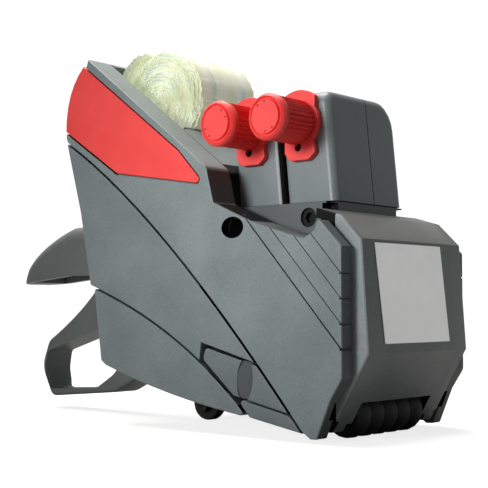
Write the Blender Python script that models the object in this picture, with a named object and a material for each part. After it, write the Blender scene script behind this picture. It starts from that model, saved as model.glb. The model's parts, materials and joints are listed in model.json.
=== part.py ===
# Hand-held price labelling gun: side shells on two chassis plates, two print heads
# with selector knobs, a squeeze lever, a label roll, a hinged ink cover and an applicator roller.
# Metres, +X to the nose, +Y to the left, +Z up, standing on the applicator roller and the rear wheel.
# Side-view points are (x, z), with x measured back from the front edge of the side shells.
import math

import bmesh
import bpy
from mathutils import Vector

# Widths across the gun
BODY_WIDTH = 0.0700
SHELL_DEPTH = 0.0110
SHELL_WALL = 0.0030
SHELL_RIM = 0.0025
PLATE_THICK = 0.0030
PLATE_MARGIN = 0.0030
GAP = 0.0003
SEAM = 0.0006
EDGE = 0.0006
OVER = 0.0020

# Side view of the upper shell
TIP_TOP = (-0.1126, 0.1301)
BAY_END = (-0.0542, 0.0864)
STEP_FOOT = (-0.0510, 0.0746)
RIB_START = (-0.0350, 0.0678)
SCOOP = (-0.0144, 0.0615)
HORN_FOOT = (-0.0101, 0.0640)
HORN = (-0.0087, 0.0675)
SHOULDER_Z = 0.0588
CHIN_Z = 0.0198
JAW = (-0.0043, 0.0132)
TOE = (-0.0093, 0.0014)
TOE_REAR = (-0.0121, 0.0013)

# Long seam below the upper shell, and the seam between rear and lower shells
SEAM_LOW = (-0.0148, 0.0032)
SEAM_PULL = (-0.0730, 0.0710)
SEAM_HIGH = (-0.1234, 0.1007)
BELLY_REAR = (-0.1079, 0.0471)
BELLY_PULL = (-0.0640, 0.0326)
BELLY_FRONT = (-0.0366, 0.0063)

# Rear edge, from the red inlay down to the lower shell
CROWN_BULGE = (-0.1222, 0.1180)
CROWN_FOOT = (-0.1244, 0.1049)
STRIP_REAR = (-0.1243, 0.1024)
REAR_MID = (-0.1160, 0.0745)
WAIST = (-0.1105, 0.0486)
HEEL_TOP = (-0.1083, 0.0461)
HEEL = (-0.1046, 0.0220)
SOLE_REAR = (-0.1022, 0.0204)
SOLE_MID = (-0.0720, 0.0146)
REAR_WALL = 0.0025

# Red inlay
INLAY_THICK = 0.0013
INLAY_SHADOW = 0.0005
INLAY_TOP = (-0.1151, 0.1278)
INLAY_CORNER = (-0.0969, 0.0875)
INLAY_NOSE = (-0.0552, 0.0809)
INLAY_BROW = (-0.0670, 0.0929)
INLAY_RIM = 0.0013

# Side hole and rib grooves of the upper shell
HOLE_CENTRE = (-0.0427, 0.0661)
HOLE_LONG = 0.0047
HOLE_SHORT = 0.0035
GROOVE_DEPTH = 0.0007
DEEP_GROOVE = 0.0009
THIN_GROOVE = 0.0004
GROOVE_RISE = 1.09
DEEP_GROOVE_Z = 0.0280
THIN_GROOVE_STEP = 0.0075
THIN_GROOVES = 3

# Release latch and hinged bottom plate
LATCH_REAR_TOP = (-0.0544, 0.0279)
LATCH_SLOPE = 0.183
LATCH_BROW = 0.245
LATCH_FOOT_X = -0.0196
LATCH_HEIGHT = 0.0129
LATCH_KNEE_X = -0.0424
LATCH_REAR_LOW = (-0.0556, 0.0238)
LATCH_THICK = 0.0050
LATCH_TRAVEL = 0.0014
LATCH_ROOM = 0.0027
LATCH_LEAN = 0.0008
LATCH_LINE = 0.0006
PLATE_LINE = 0.0004
PLATE_SEAM = 0.0012
THUMB_AT = (-0.0374, 0.0180)
THUMB_HALF = 0.0033
THUMB_HIGH = 0.0068
THUMB_LEAN = -0.06
THUMB_DEPTH = 0.0030
THUMB_LIP = 0.0001
LATCH_BAR = 0.0040
LATCH_BAR_AT = (-0.0440, 0.0200)
PLATE_PIN = (-0.0400, 0.0080)
PLATE_PIN_RADIUS = 0.0010
LUG_RADIUS = 0.0018
LUG_FROM = 0.0140
LUG_TO = 0.0220
PLATE_ROUND = 0.0010
BOTTOM_FLOOR = 0.0020

# Front cover
COVER_HALF = 0.0285
COVER_SIDE_GAP = 0.0015
COVER_WALL = 0.0016
COVER_ROUND = 0.0009
COVER_FOOT_SHARE = 0.3
COVER_PROUD = 0.0050
COVER_TOP_REAR = (-0.0140, 0.0712)
COVER_TOP_FRONT = (-0.0050, 0.0686)
COVER_BROW = (0.0027, 0.0612)
COVER_CREASE_Z = 0.0270
COVER_FOOT = (-0.0088, 0.0030)
COVER_BACK_X = -0.0122
COVER_SWING = 0.0014
COVER_HINGE = (-0.0100, 0.0052)
COVER_PIN_RADIUS = 0.0010
COVER_BOW = 0.0012
MOUTH_GAP = 0.0012
MOUTH_TOP = 0.0117
MOUTH_FOOT_GAP = 0.0039
MOUTH_FOOT_TOP = 0.0053
CHEEK_SLOT_WIDTH = 0.0020
CHEEK_SLOT_LOW = 0.0070
CHEEK_SLOT_HIGH = 0.0124

# Applicator roller
ROLLER_AT = (-0.0122, 0.0072)
ROLLER_RADIUS = 0.0072
ROLLER_GROOVE = 0.0011
ROLLER_LOBES = 5
ROLLER_AXLE = 0.0015
ARM_THICK = 0.0016
ARM_GAP = 0.0001
ARM_EYE = 0.0024
ARM_REAR_X = -0.0205
ARM_REAR_Z = 0.0215
ARM_BRIDGE = 0.0016

# Print heads
HEAD_LEDGE = 0.0740
HEAD_LENGTH = 0.0202
HEAD_PITCH = 0.0208
HEAD_FRONT_X = -0.0140
HEAD_HALF = 0.0180
HEAD_FAR = 0.0196
HEAD_TOP = 0.1100
HEAD_LEAN = 0.0036
HEAD_ROUND = 0.0085
HEAD_EDGE = 0.0026
HEAD_WALL = 0.0018
HEAD_SPLIT = 0.0028
HEAD_SEAM = 0.0004
BED_HALF = 0.0200
BED_FLANGE = 0.0026
BED_SEAT = 0.0580
BED_REAR_X = -0.0525
BED_FRONT_X = -0.0165
BED_NOSE_X = -0.0145
BED_NOSE_HIGH = 0.0080
BED_NOTCH = 0.0036
BED_WINDOW_HALF = 0.0150
BED_WINDOW_MARGIN = 0.0030
SCREW_X = -0.0236
SCREW_DROP = 0.0048
SCREW_RECESS = 0.0050
SCREW_RECESS_DEPTH = 0.0030
SCREW_HEAD = 0.0036
SCREW_SOCKET = 0.0018
SCREW_LENGTH = 0.0080
SCREW_SHANK = 0.0015

# Selector knobs, their brackets and the type wheels they turn
KNOB_AXIS_Z = 0.1000
KNOB_INSET = 0.0074
KNOB_RADIUS = 0.0075
KNOB_LENGTH = 0.0160
KNOB_FLUTES = 30
KNOB_FLUTE = 0.0009
KNOB_DISC = 0.0060
KNOB_BORE = 0.0026
KNOB_PULL = 0.0060
SLEEVE_LENGTH = 0.0100
SLEEVE_FLANGE = 0.0045
SLIDING_FIT = 0.0001
BRACKET_THICK = 0.0018
BRACKET_RADIUS = 0.0082
BRACKET_EAR = 0.0106
BRACKET_EYE = 0.0014
EYE_DROP = 0.0080
TYPE_RADIUS = 0.0062
TYPE_HALF = 0.0130
TYPE_FACES = 12
TYPE_RINGS = 6
TYPE_SHAFT = 0.0016

# Label roll and its bay
ROLL_AT = (-0.0945, 0.1152)
ROLL_RADIUS = 0.0197
ROLL_HALF = 0.0145
ROLL_TURNS = 16
TAPE_THICK = 0.0005
TAPE_STEPS = 18
TAPE_SLIP = 0.0008
TELESCOPE = 0.0045
CORE_RADIUS = 0.0040
CORE_WALL = 0.0012
BAY_CLEAR = 0.0004
BAY_FLOOR = 0.0020
BAY_REAR_ANGLE = 192
BAY_FRONT_ANGLE = 325
DECK_REAR_X = -0.0758
DECK_FRONT_X = -0.0572
DECK_THICK = 0.0026
DECK_LEG_X = -0.0700
DECK_LEG = 0.0035
DECK_FOOT = 0.0720

# Handle and squeeze lever
HANDLE_HALF = 0.0115
HANDLE_WALL = 0.0027
HANDLE_TOP_Z = 0.0732
HANDLE_TIP = (-0.1822, 0.0500)
HANDLE_NOSE = 0.0085
HANDLE_BLUNT = 0.0016
HANDLE_BROW = (-0.1500, 0.0723)
HANDLE_PULL = (-0.1745, 0.0655)
HANDLE_LIP_Z = 0.0530
HANDLE_ROUND = 0.0055
LEVER_HALF = 0.0065
LEVER_PIVOT = (-0.0580, 0.0260)
LEVER_BOSS = 0.0075
LEVER_PIN_RADIUS = 0.0025
RUNNING_FIT = 0.0001
LEVER_EDGE = 0.0011
LEVER_SHOULDER = (-0.1385, 0.0485)
LEVER_NAPE = (-0.1520, 0.0362)
LEVER_TAIL_TOP = (-0.1680, 0.0271)
LEVER_TAIL = (-0.1724, 0.0168)
LEVER_TAIL_LOW = (-0.1660, 0.0048)
LEVER_BAR_REAR = (-0.1485, 0.0063)
LEVER_BAR = (-0.1285, 0.0080)
LEVER_ARM_LOW = (-0.0980, 0.0222)
LOOP_REAR = (-0.1698, 0.0155)
LOOP_REAR_TOP = (-0.1684, 0.0229)
LOOP_CEILING = (-0.1215, 0.0369)
LOOP_FRONT = (-0.1160, 0.0285)
LOOP_FLOOR = (-0.1290, 0.0148)
LOOP_SILL = (-0.1390, 0.0091)
LOOP_REAR_LOW = (-0.1676, 0.0076)
SPRING_WIRE = 0.0006
SPRING_RADIUS = 0.0040
SPRING_TURNS = 4
SPRING_PITCH = 0.0019
SPRING_TAIL = 0.0090
SLOT_TOP = 0.0672

# Rear wheel
WHEEL_X = -0.0845
WHEEL_RADIUS = 0.0063
WHEEL_HALF = 0.0022
WHEEL_CROWN = 0.0008
WHEEL_AXLE = 0.0012
FORK_THICK = 0.0022
FORK_HALF_LENGTH = 0.0032
FORK_BRIDGE_LOW = 0.0158
FORK_BRIDGE_TOP = 0.0188
FORK_BRIDGE_HALF = 0.0045

# Feed and printing parts inside
PLATEN_REAR_X = -0.0480
PLATEN_FRONT_X = -0.0210
PLATEN_TOP = 0.0345
PLATEN_THICK = 0.0040
PEEL_THICK = 0.0010
PEEL_HALF = 0.0165
PEEL_EDGE = (-0.0187, 0.0166)
CARRIAGE_TOP = 0.0545
CARRIAGE_LOW = 0.0430
CARRIAGE_HALF = 0.0170
CARRIAGE_REAR_X = -0.0485
CARRIAGE_FRONT_X = -0.0225
GUIDE_RADIUS = 0.0018
GUIDE_X = -0.0450
GUIDE_Y = 0.0140
FEED_AT = (-0.0290, 0.0215)
FEED_SHAFT = 0.0020
FEED_RADIUS = 0.0062
FEED_GAP = 0.0025
FEED_TEETH = 16
FEED_TOOTH = 0.0010
RATCHET_GAP = 0.0020
RATCHET_THICK = 0.0022
INK_LOW = 0.0350
INK_TOP = 0.0560
INK_FRONT_X = -0.0050
INK_HALF = 0.0200
INK_WALL = 0.0016
INK_ROLLER_AT = (-0.0108, 0.0400)
INK_ROLLER = 0.0040
INK_AXLE = 0.0012

HALF = BODY_WIDTH / 2
SHELL_INNER = HALF - SHELL_DEPTH
PLATE_OUTER = SHELL_INNER - GAP
PLATE_INNER = PLATE_OUTER - PLATE_THICK
BETWEEN = PLATE_INNER - GAP
ROLLER_HALF = BETWEEN - ARM_GAP - ARM_THICK - GAP
MOUTH_HALF = ROLLER_HALF + MOUTH_GAP
MOUTH_FOOT_HALF = ROLLER_HALF + MOUTH_FOOT_GAP
RATCHET_AT = PLATE_INNER - RATCHET_GAP - RATCHET_THICK
FEED_HALF = RATCHET_AT - FEED_GAP
NOSE_X = COVER_PROUD + COVER_BOW
MID_X = (NOSE_X + HANDLE_TIP[0]) / 2
SCREW_AT = (SCREW_X, HEAD_LEDGE - SCREW_DROP)
SIDES = (("right", -1), ("left", 1))


# Outline helpers, all in the side view


def bezier(start, pull, end, steps):
    points = []
    for step in range(steps + 1):
        t = step / steps
        parts = zip(start, pull, end)
        points.append(tuple((1 - t) ** 2 * a + 2 * t * (1 - t) * b + t * t * c for a, b, c in parts))
    return points


def arc(centre, radius, start_deg, end_deg, steps):
    points = []
    for step in range(steps + 1):
        angle = math.radians(start_deg + (end_deg - start_deg) * step / steps)
        points.append((centre[0] + radius * math.cos(angle), centre[1] + radius * math.sin(angle)))
    return points


def circle(centre, radius, sides):
    return arc(centre, radius, 0, 360 - 360 / sides, sides - 1)


def shifted(points, dx, dz):
    return [(x + dx, z + dz) for x, z in points]


def rounded(corners, steps=4):
    # Each corner is (point, radius); a zero radius stays sharp.
    outline = []
    count = len(corners)
    for index, (corner, radius) in enumerate(corners):
        if not radius:
            outline.append(corner)
            continue
        here = Vector(corner)
        back = (Vector(corners[index - 1][0]) - here).normalized()
        ahead = (Vector(corners[(index + 1) % count][0]) - here).normalized()
        half = back.angle(ahead) / 2
        centre = here + (back + ahead).normalized() * (radius / math.sin(half))
        first = here + back * (radius / math.tan(half)) - centre
        turn = first.angle_signed(here + ahead * (radius / math.tan(half)) - centre)
        for step in range(steps + 1):
            angle = -turn * step / steps
            cos, sin = math.cos(angle), math.sin(angle)
            outline.append((centre.x + first.x * cos - first.y * sin, centre.y + first.x * sin + first.y * cos))
    return outline


def area(outline):
    pairs = zip(outline, outline[1:] + outline[:1])
    return sum(a[0] * b[1] - b[0] * a[1] for a, b in pairs) / 2


def inset(outline, distance):
    # Moves every side inwards by the distance; a negative distance grows the outline.
    sign = 1 if area(outline) > 0 else -1
    count = len(outline)
    moved = []
    for index, point in enumerate(outline):
        here = Vector(point)
        before = (here - Vector(outline[index - 1])).normalized()
        after = (Vector(outline[(index + 1) % count]) - here).normalized()
        normal = Vector((-before.y - after.y, before.x + after.x)) * sign
        normal.normalize()
        lean = max(0.35, normal.dot(Vector((-after.y, after.x)) * sign))
        moved.append(tuple(here + normal * (distance / lean)))
    return moved


# Solid helpers


def solid(name, rings):
    # A closed body through rings of points that all have the same count.
    mesh = bpy.data.meshes.new(name)
    body = bmesh.new()
    loops = [[body.verts.new(point) for point in ring] for ring in rings]
    body.faces.new(loops[0])
    body.faces.new(loops[-1])
    for lower, upper in zip(loops, loops[1:]):
        for index in range(len(lower)):
            body.faces.new((lower[index - 1], lower[index], upper[index], upper[index - 1]))
    bmesh.ops.recalc_face_normals(body, faces=body.faces)
    body.to_mesh(mesh)
    body.free()
    piece = bpy.data.objects.new(name, mesh)
    bpy.context.scene.collection.objects.link(piece)
    return piece


def slab(name, outline, y_from, y_to, edge=0.0, far_edge=0.0, steps=2):
    # The outline extruded along Y, with rounded rims where an edge radius is given.
    way = 1 if y_to > y_from else -1
    levels = []
    for step in range(steps + 1 if edge else 1):
        turn = math.pi / 2 * step / steps
        levels.append((y_from + way * edge * (1 - math.cos(turn)), edge * (1 - math.sin(turn))))
    for step in range(steps + 1 if far_edge else 1):
        turn = math.pi / 2 * step / steps
        levels.append((y_to - way * far_edge * (1 - math.sin(turn)), far_edge * (1 - math.cos(turn))))
    rings = []
    for y, distance in levels:
        ring = inset(outline, distance) if distance > 1e-9 else outline
        rings.append([(x, y, z) for x, z in ring])
    return solid(name, rings)


def box(name, low, high):
    outline = [(low[0], low[2]), (high[0], low[2]), (high[0], high[2]), (low[0], high[2])]
    return slab(name, outline, low[1], high[1])


def rod(name, centre, radius, y_from, y_to, sides=20, edge=0.0):
    return slab(name, circle(centre, radius, sides), y_from, y_to, edge, edge)


def combine(piece, other, operation):
    change = piece.modifiers.new("shape", "BOOLEAN")
    change.operation = operation
    change.solver = "EXACT"
    change.object = other
    bpy.context.view_layer.update()
    graph = bpy.context.evaluated_depsgraph_get()
    result = bpy.data.meshes.new_from_object(piece.evaluated_get(graph))
    piece.modifiers.clear()
    old = piece.data
    piece.data = result
    bpy.data.meshes.remove(old)
    bpy.data.objects.remove(other)


def cut(piece, cutter):
    combine(piece, cutter, "DIFFERENCE")


def fuse(piece, other):
    combine(piece, other, "UNION")


def paint(piece, colour, roughness, metallic=0.0):
    look = bpy.data.materials.new(piece.name)
    look.use_nodes = True
    shader = look.node_tree.nodes["Principled BSDF"]
    shader.inputs["Base Color"].default_value = (*colour, 1)
    shader.inputs["Roughness"].default_value = roughness
    shader.inputs["Metallic"].default_value = metallic
    piece.data.materials.clear()
    piece.data.materials.append(look)
    piece.data.shade_smooth()
    piece.data.set_sharp_from_angle(angle=math.radians(32))


def grey(piece):
    paint(piece, (0.17, 0.20, 0.20), 0.55)


def dark(piece):
    paint(piece, (0.07, 0.075, 0.08), 0.5)


def red(piece):
    paint(piece, (0.75, 0.035, 0.03), 0.4)


def rubber(piece):
    paint(piece, (0.012, 0.012, 0.012), 0.7)


def steel(piece):
    paint(piece, (0.55, 0.55, 0.56), 0.3, 1.0)


def pivot_at(piece, x, y, z):
    # Puts the origin of a moving piece on its joint axis.
    spot = Vector((x, y, z))
    for vertex in piece.data.vertices:
        vertex.co -= spot
    piece.location = spot


# Side-view outlines of the shells


def seam_x(x):
    # Where the long seam crosses a given x, as a share of its length.
    a = SEAM_LOW[0] - 2 * SEAM_PULL[0] + SEAM_HIGH[0]
    b = 2 * (SEAM_PULL[0] - SEAM_LOW[0])
    c = SEAM_LOW[0] - x
    return (-b - math.sqrt(b * b - 4 * a * c)) / (2 * a)


def seam_point(t):
    parts = zip(SEAM_LOW, SEAM_PULL, SEAM_HIGH)
    return tuple((1 - t) ** 2 * a + 2 * t * (1 - t) * b + t * t * c for a, b, c in parts)


def seam_run(x_from, x_to, steps):
    # The lower side of the long seam, one seam width away from the upper shell.
    t_from, t_to = seam_x(x_from), seam_x(x_to)
    points = [seam_point(t_from + (t_to - t_from) * step / steps) for step in range(steps + 1)]
    return shifted(points, -0.7 * SEAM, -0.7 * SEAM)


def crown(distance):
    # Rear arc of the red inlay, moved forwards by the distance.
    pull_x = 2 * CROWN_BULGE[0] - (INLAY_TOP[0] + CROWN_FOOT[0]) / 2
    pull_z = 2 * CROWN_BULGE[1] - (INLAY_TOP[1] + CROWN_FOOT[1]) / 2
    return shifted(bezier(CROWN_FOOT, (pull_x, pull_z), INLAY_TOP, 6), distance, 0)


def upper_outline():
    front = rounded([
        (TIP_TOP, 0.0),
        (BAY_END, 0.0028),
        (STEP_FOOT, 0.0015),
        (RIB_START, 0.0),
        (SCOOP, 0.0015),
        (HORN_FOOT, 0.0),
        (HORN, 0.0008),
        ((0.0, SHOULDER_Z), 0.0008),
        ((0.0, CHIN_Z), 0.0030),
        (JAW, 0.0),
        (TOE, 0.0008),
        (TOE_REAR, 0.0008),
    ], 3)
    back = bezier(SEAM_LOW, SEAM_PULL, SEAM_HIGH, 14)
    rear = crown(INLAY_RIM + GAP)
    fall = (INLAY_CORNER[1] - CROWN_FOOT[1]) / (INLAY_CORNER[0] - CROWN_FOOT[0])
    ledge = (CROWN_FOOT[0] + GAP, CROWN_FOOT[1] - 1.2 * INLAY_SHADOW)
    corner = (rear[0][0], ledge[1] + (rear[0][0] - ledge[0]) * fall)
    return front + back + [STRIP_REAR, ledge, corner] + rear


def upper_core():
    # Simplified upper shell that the inner pocket is taken from.
    back = bezier(SEAM_LOW, SEAM_PULL, SEAM_HIGH, 8)
    front_x = COVER_BACK_X - COVER_SWING - SHELL_RIM / 2
    ribs = (front_x, SCOOP[1] - SHELL_RIM)
    low = (front_x, seam_point(seam_x(front_x - SHELL_RIM))[1])
    return [TIP_TOP, BAY_END, STEP_FOOT, RIB_START, ribs, low] + back[2:] + [CROWN_BULGE]


def inlay_outline():
    top = [INLAY_TOP, INLAY_BROW]
    nose = rounded([(INLAY_BROW, 0.0), (INLAY_NOSE, 0.0012), (INLAY_CORNER, 0.0)], 3)
    return top[:1] + nose + crown(0)[:-1]


def latch_top(x):
    return LATCH_REAR_TOP[1] - (x - LATCH_REAR_TOP[0]) * LATCH_BROW


def latch_bottom(x):
    return LATCH_REAR_TOP[1] - LATCH_HEIGHT - (x - LATCH_REAR_TOP[0]) * LATCH_SLOPE


def latch_corner_x(rise):
    # Where the long seam meets the latch's top edge, lifted by the rise.
    low, high = 0.05, 0.4
    for halving in range(30):
        t = (low + high) / 2
        x, z = shifted([seam_point(t)], -0.7 * SEAM, -0.7 * SEAM)[0]
        if z < latch_top(x) + rise:
            low = t
        else:
            high = t
    return seam_point(low)[0]


def latch_outline():
    edge = seam_run(latch_corner_x(0.0), LATCH_FOOT_X, 3)
    knee = (LATCH_KNEE_X, latch_bottom(LATCH_KNEE_X))
    rear = rounded([(edge[-1], 0.0), (knee, 0.0), (LATCH_REAR_LOW, 0.0015), (LATCH_REAR_TOP, 0.0015),
                    (edge[0], 0.0)], 3)
    return edge[:-1] + rear[:-1]


def belly(steps):
    return bezier(BELLY_REAR, BELLY_PULL, BELLY_FRONT, steps)


def belly_z(x):
    # Height of the seam between rear and lower shell at a given x.
    points = belly(40)
    for (x0, z0), (x1, z1) in zip(points, points[1:]):
        if x0 <= x <= x1:
            return z0 + (z1 - z0) * (x - x0) / (x1 - x0)
    return points[-1][1]


def rear_outline():
    stop_x = LATCH_REAR_TOP[0] - LATCH_ROOM
    upper = seam_run(SEAM_HIGH[0], latch_corner_x(LATCH_LINE), 12)
    latch_side = [(stop_x + LATCH_LEAN, latch_top(stop_x) + LATCH_LINE)]
    low = [point for point in belly(14) if point[0] < stop_x - LATCH_LINE]
    low.append((stop_x, belly_z(stop_x)))
    return upper + latch_side + shifted(low[::-1], 0, SEAM) + [WAIST, REAR_MID]


def lower_outline():
    sole = bezier(BELLY_FRONT, (SOLE_MID[0], SOLE_MID[1] - 0.004), SOLE_REAR, 8)
    tip = rounded([(belly(14)[-2], 0.0), (BELLY_FRONT, PLATE_ROUND), (sole[1], 0.0)], 4)
    return belly(14)[:-2] + tip + sole[2:] + [HEEL, HEEL_TOP]


def bottom_outline():
    front = seam_run(LATCH_FOOT_X, SEAM_LOW[0], 2)
    rear_x = LATCH_KNEE_X + PLATE_SEAM
    top = (rear_x, latch_bottom(rear_x) - PLATE_LINE)
    brow = (front[0][0], front[0][1] - PLATE_LINE)
    low = (BELLY_FRONT[0] + SEAM + GAP, BELLY_FRONT[1])
    corners = [(brow, 0.0)] + [(point, 0.0) for point in front[1:]]
    return rounded(corners + [(low, PLATE_ROUND), (top, PLATE_ROUND)], 3)


def bay_top(x):
    # Height of the upper shell's straight top edge at a given x.
    return TIP_TOP[1] + (x - TIP_TOP[0]) * (BAY_END[1] - TIP_TOP[1]) / (BAY_END[0] - TIP_TOP[0])


def plate_outline():
    # Chassis plate inside the shells: bay side, head seat, feed, lever and wheel bearings.
    drop = PLATE_MARGIN + DECK_THICK / 2
    rear_x = TIP_TOP[0] + PLATE_MARGIN
    bay_rear = (rear_x, bay_top(rear_x) - drop)
    front_x = BED_REAR_X - PLATE_MARGIN
    bay_front = (front_x, bay_top(front_x) - drop)
    arm_x = BED_FRONT_X - GAP
    feed_low = FEED_AT[1] - FEED_SHAFT - PLATE_MARGIN
    bar_top = LATCH_BAR_AT[1] + LATCH_BAR / 2 + PLATE_MARGIN
    boss = LEVER_PIN_RADIUS + PLATE_MARGIN
    wheel_rear = WHEEL_X - FORK_BRIDGE_HALF - PLATE_MARGIN
    wheel_front = WHEEL_X + FORK_BRIDGE_HALF + PLATE_MARGIN
    rear = REAR_WALL + INLAY_RIM + PLATE_MARGIN / 2
    return [
        bay_rear, bay_front, (front_x, BED_SEAT), (arm_x, BED_SEAT), (arm_x, PLATEN_TOP - PLATEN_THICK),
        (FEED_AT[0] + FEED_SHAFT + 2 * PLATE_MARGIN, feed_low),
        (FEED_AT[0] - FEED_SHAFT - PLATE_MARGIN, feed_low),
        (LATCH_BAR_AT[0] + LATCH_BAR, bar_top),
        (LEVER_PIVOT[0] + LEVER_BOSS, bar_top),
        (LEVER_PIVOT[0] + boss, LEVER_PIVOT[1] - boss),
        (LEVER_PIVOT[0] - boss, LEVER_PIVOT[1] - boss),
        (wheel_front, FORK_BRIDGE_LOW), (wheel_rear, FORK_BRIDGE_LOW),
        (HEEL[0] + PLATE_MARGIN, HEEL[1] + PLATE_MARGIN),
        (WAIST[0] + rear, WAIST[1]),
        (REAR_MID[0] + rear, REAR_MID[1]),
        (CROWN_FOOT[0] + rear + GAP, SEAM_HIGH[1]),
        (CROWN_BULGE[0] + rear + GAP, CROWN_BULGE[1] - PLATE_MARGIN),
    ]


# Shells, inlays and chassis


def groove(name, side, x, z, width):
    # A cutter along one diagonal groove that runs up and back from the front edge.
    reach = 0.0400
    rise = reach * GROOVE_RISE
    outline = [(x, z), (x, z + width), (x - reach, z + width + rise), (x - reach, z + rise)]
    return slab(name, outline, side * (HALF + OVER), side * (HALF - GROOVE_DEPTH))


def tick(side, z, width):
    # A cutter that carries a groove across the shell's front face.
    across = sorted((side * (COVER_HALF - OVER), side * (HALF + OVER)))
    return box("tick", (-GROOVE_DEPTH, across[0], z), (OVER, across[1], z + width))


def upper_shell(label, side):
    shell = slab("upper_shell_" + label, upper_outline(), side * HALF, side * SHELL_INNER, EDGE)
    pocket = inset(upper_core(), SHELL_RIM)
    cut(shell, slab("pocket", pocket, side * (HALF - SHELL_WALL), side * (SHELL_INNER - OVER)))
    recess = inset(inlay_outline(), -INLAY_SHADOW)
    floor_y = HALF - INLAY_THICK - GAP
    cut(shell, slab("recess", recess, side * (HALF + OVER), side * floor_y))
    nose_low = (COVER_BACK_X - COVER_SWING, -SHELL_INNER, -OVER)
    nose_high = (OVER, SHELL_INNER, COVER_TOP_REAR[1] + OVER)
    nose_y = sorted((side * (SHELL_INNER - OVER), side * (COVER_HALF + COVER_SIDE_GAP)))
    cut(shell, box("nose", (nose_low[0], nose_y[0], nose_low[2]), (nose_high[0], nose_y[1], nose_high[2])))
    ring = circle((0, 0), 1, 20)
    hole = [(HOLE_CENTRE[0] + HOLE_LONG * x, HOLE_CENTRE[1] + HOLE_SHORT * z) for x, z in ring]
    cut(shell, slab("hole", hole, side * (HALF + OVER), side * (HALF - SHELL_WALL - OVER)))
    front = OVER / 2
    cut(shell, groove("deep", side, front, DEEP_GROOVE_Z - front * GROOVE_RISE, DEEP_GROOVE))
    cut(shell, tick(side, DEEP_GROOVE_Z, DEEP_GROOVE))
    for row in range(1, THIN_GROOVES + 1):
        z = DEEP_GROOVE_Z + row * THIN_GROOVE_STEP
        cut(shell, groove("thin", side, front, z - front * GROOVE_RISE, THIN_GROOVE))
        cut(shell, tick(side, z, THIN_GROOVE))
    pin = circle(COVER_HINGE, COVER_PIN_RADIUS + RUNNING_FIT, 16)
    cut(shell, slab("pin", pin, side * (COVER_HALF - OVER), side * (HALF - SHELL_WALL + GAP)))
    flange_y = COVER_HALF + COVER_SIDE_GAP
    slot_y = sorted((side * (flange_y - OVER), side * (flange_y + CHEEK_SLOT_WIDTH)))
    slot_low = (COVER_BACK_X, slot_y[0], CHEEK_SLOT_LOW)
    slot_high = (OVER, slot_y[1], CHEEK_SLOT_HIGH)
    cut(shell, box("slot", slot_low, slot_high))
    grey(shell)
    return shell


def inlay(label, side):
    piece = slab("red_inlay_" + label, inlay_outline(), side * HALF, side * SHELL_INNER, 0.0004)
    keep = INLAY_RIM
    inner = slab("inner", shifted(inset(inlay_outline(), -OVER), keep + OVER, 0),
                 side * (HALF - INLAY_THICK), side * (SHELL_INNER - OVER))
    cut(piece, inner)
    red(piece)
    return piece


def rear_core():
    # Simplified rear shell for its pocket.
    low = [point for point in belly(6)[1:] if point[0] < LATCH_REAR_TOP[0] - 2 * SHELL_RIM]
    upper = seam_run(SEAM_HIGH[0], LATCH_REAR_TOP[0] + 2 * SHELL_RIM, 6)
    return upper + low[::-1] + [WAIST, REAR_MID]


def rear_shell(label, side):
    shell = slab("rear_shell_" + label, rear_outline(), side * HALF, side * SHELL_INNER, EDGE)
    hollow = inset(rear_core(), SHELL_RIM)
    cut(shell, slab("pocket", hollow, side * (HALF - SHELL_WALL), side * (SHELL_INNER - OVER)))
    grey(shell)
    return shell


def lower_shell(label, side):
    shell = slab("lower_shell_" + label, lower_outline(), side * HALF, side * SHELL_INNER, EDGE)
    front_x = LATCH_REAR_TOP[0]
    top = [point for point in belly(8)[1:] if point[0] < front_x]
    sole = bezier(BELLY_FRONT, (SOLE_MID[0], SOLE_MID[1] - 0.004), SOLE_REAR, 8)
    low = [point for point in sole[:-1] if point[0] < front_x]
    hollow = inset(top + low + [HEEL, HEEL_TOP], SHELL_RIM)
    cut(shell, slab("pocket", hollow, side * (HALF - SHELL_WALL), side * (SHELL_INNER - OVER)))
    grey(shell)
    return shell


def chassis_plate(label, side):
    plate = slab("chassis_plate_" + label, plate_outline(), side * PLATE_OUTER, side * PLATE_INNER)
    shaft = circle(FEED_AT, FEED_SHAFT + RUNNING_FIT, 16)
    cut(plate, slab("shaft", shaft, side * (PLATE_OUTER + OVER), side * (PLATE_INNER - OVER)))
    dark(plate)
    return plate


def rear_wall():
    outer = crown(INLAY_RIM + GAP)[::-1]
    outer[0] = TIP_TOP
    inner = shifted(crown(INLAY_RIM + GAP + REAR_WALL), 0, 0)
    inner[-1] = (TIP_TOP[0] + REAR_WALL, TIP_TOP[1] - REAR_WALL / 2)
    low = [REAR_MID, WAIST]
    outline = outer + low + shifted(low[::-1], REAR_WALL, 0) + inner
    wall = slab("rear_wall", outline, -PLATE_OUTER, PLATE_OUTER)
    slot_half = LEVER_HALF + 2 * GAP
    cut(wall, box("slot", (CROWN_FOOT[0], -slot_half, WAIST[1] - OVER), (0, slot_half, SLOT_TOP)))
    grey(wall)
    return wall


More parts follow.
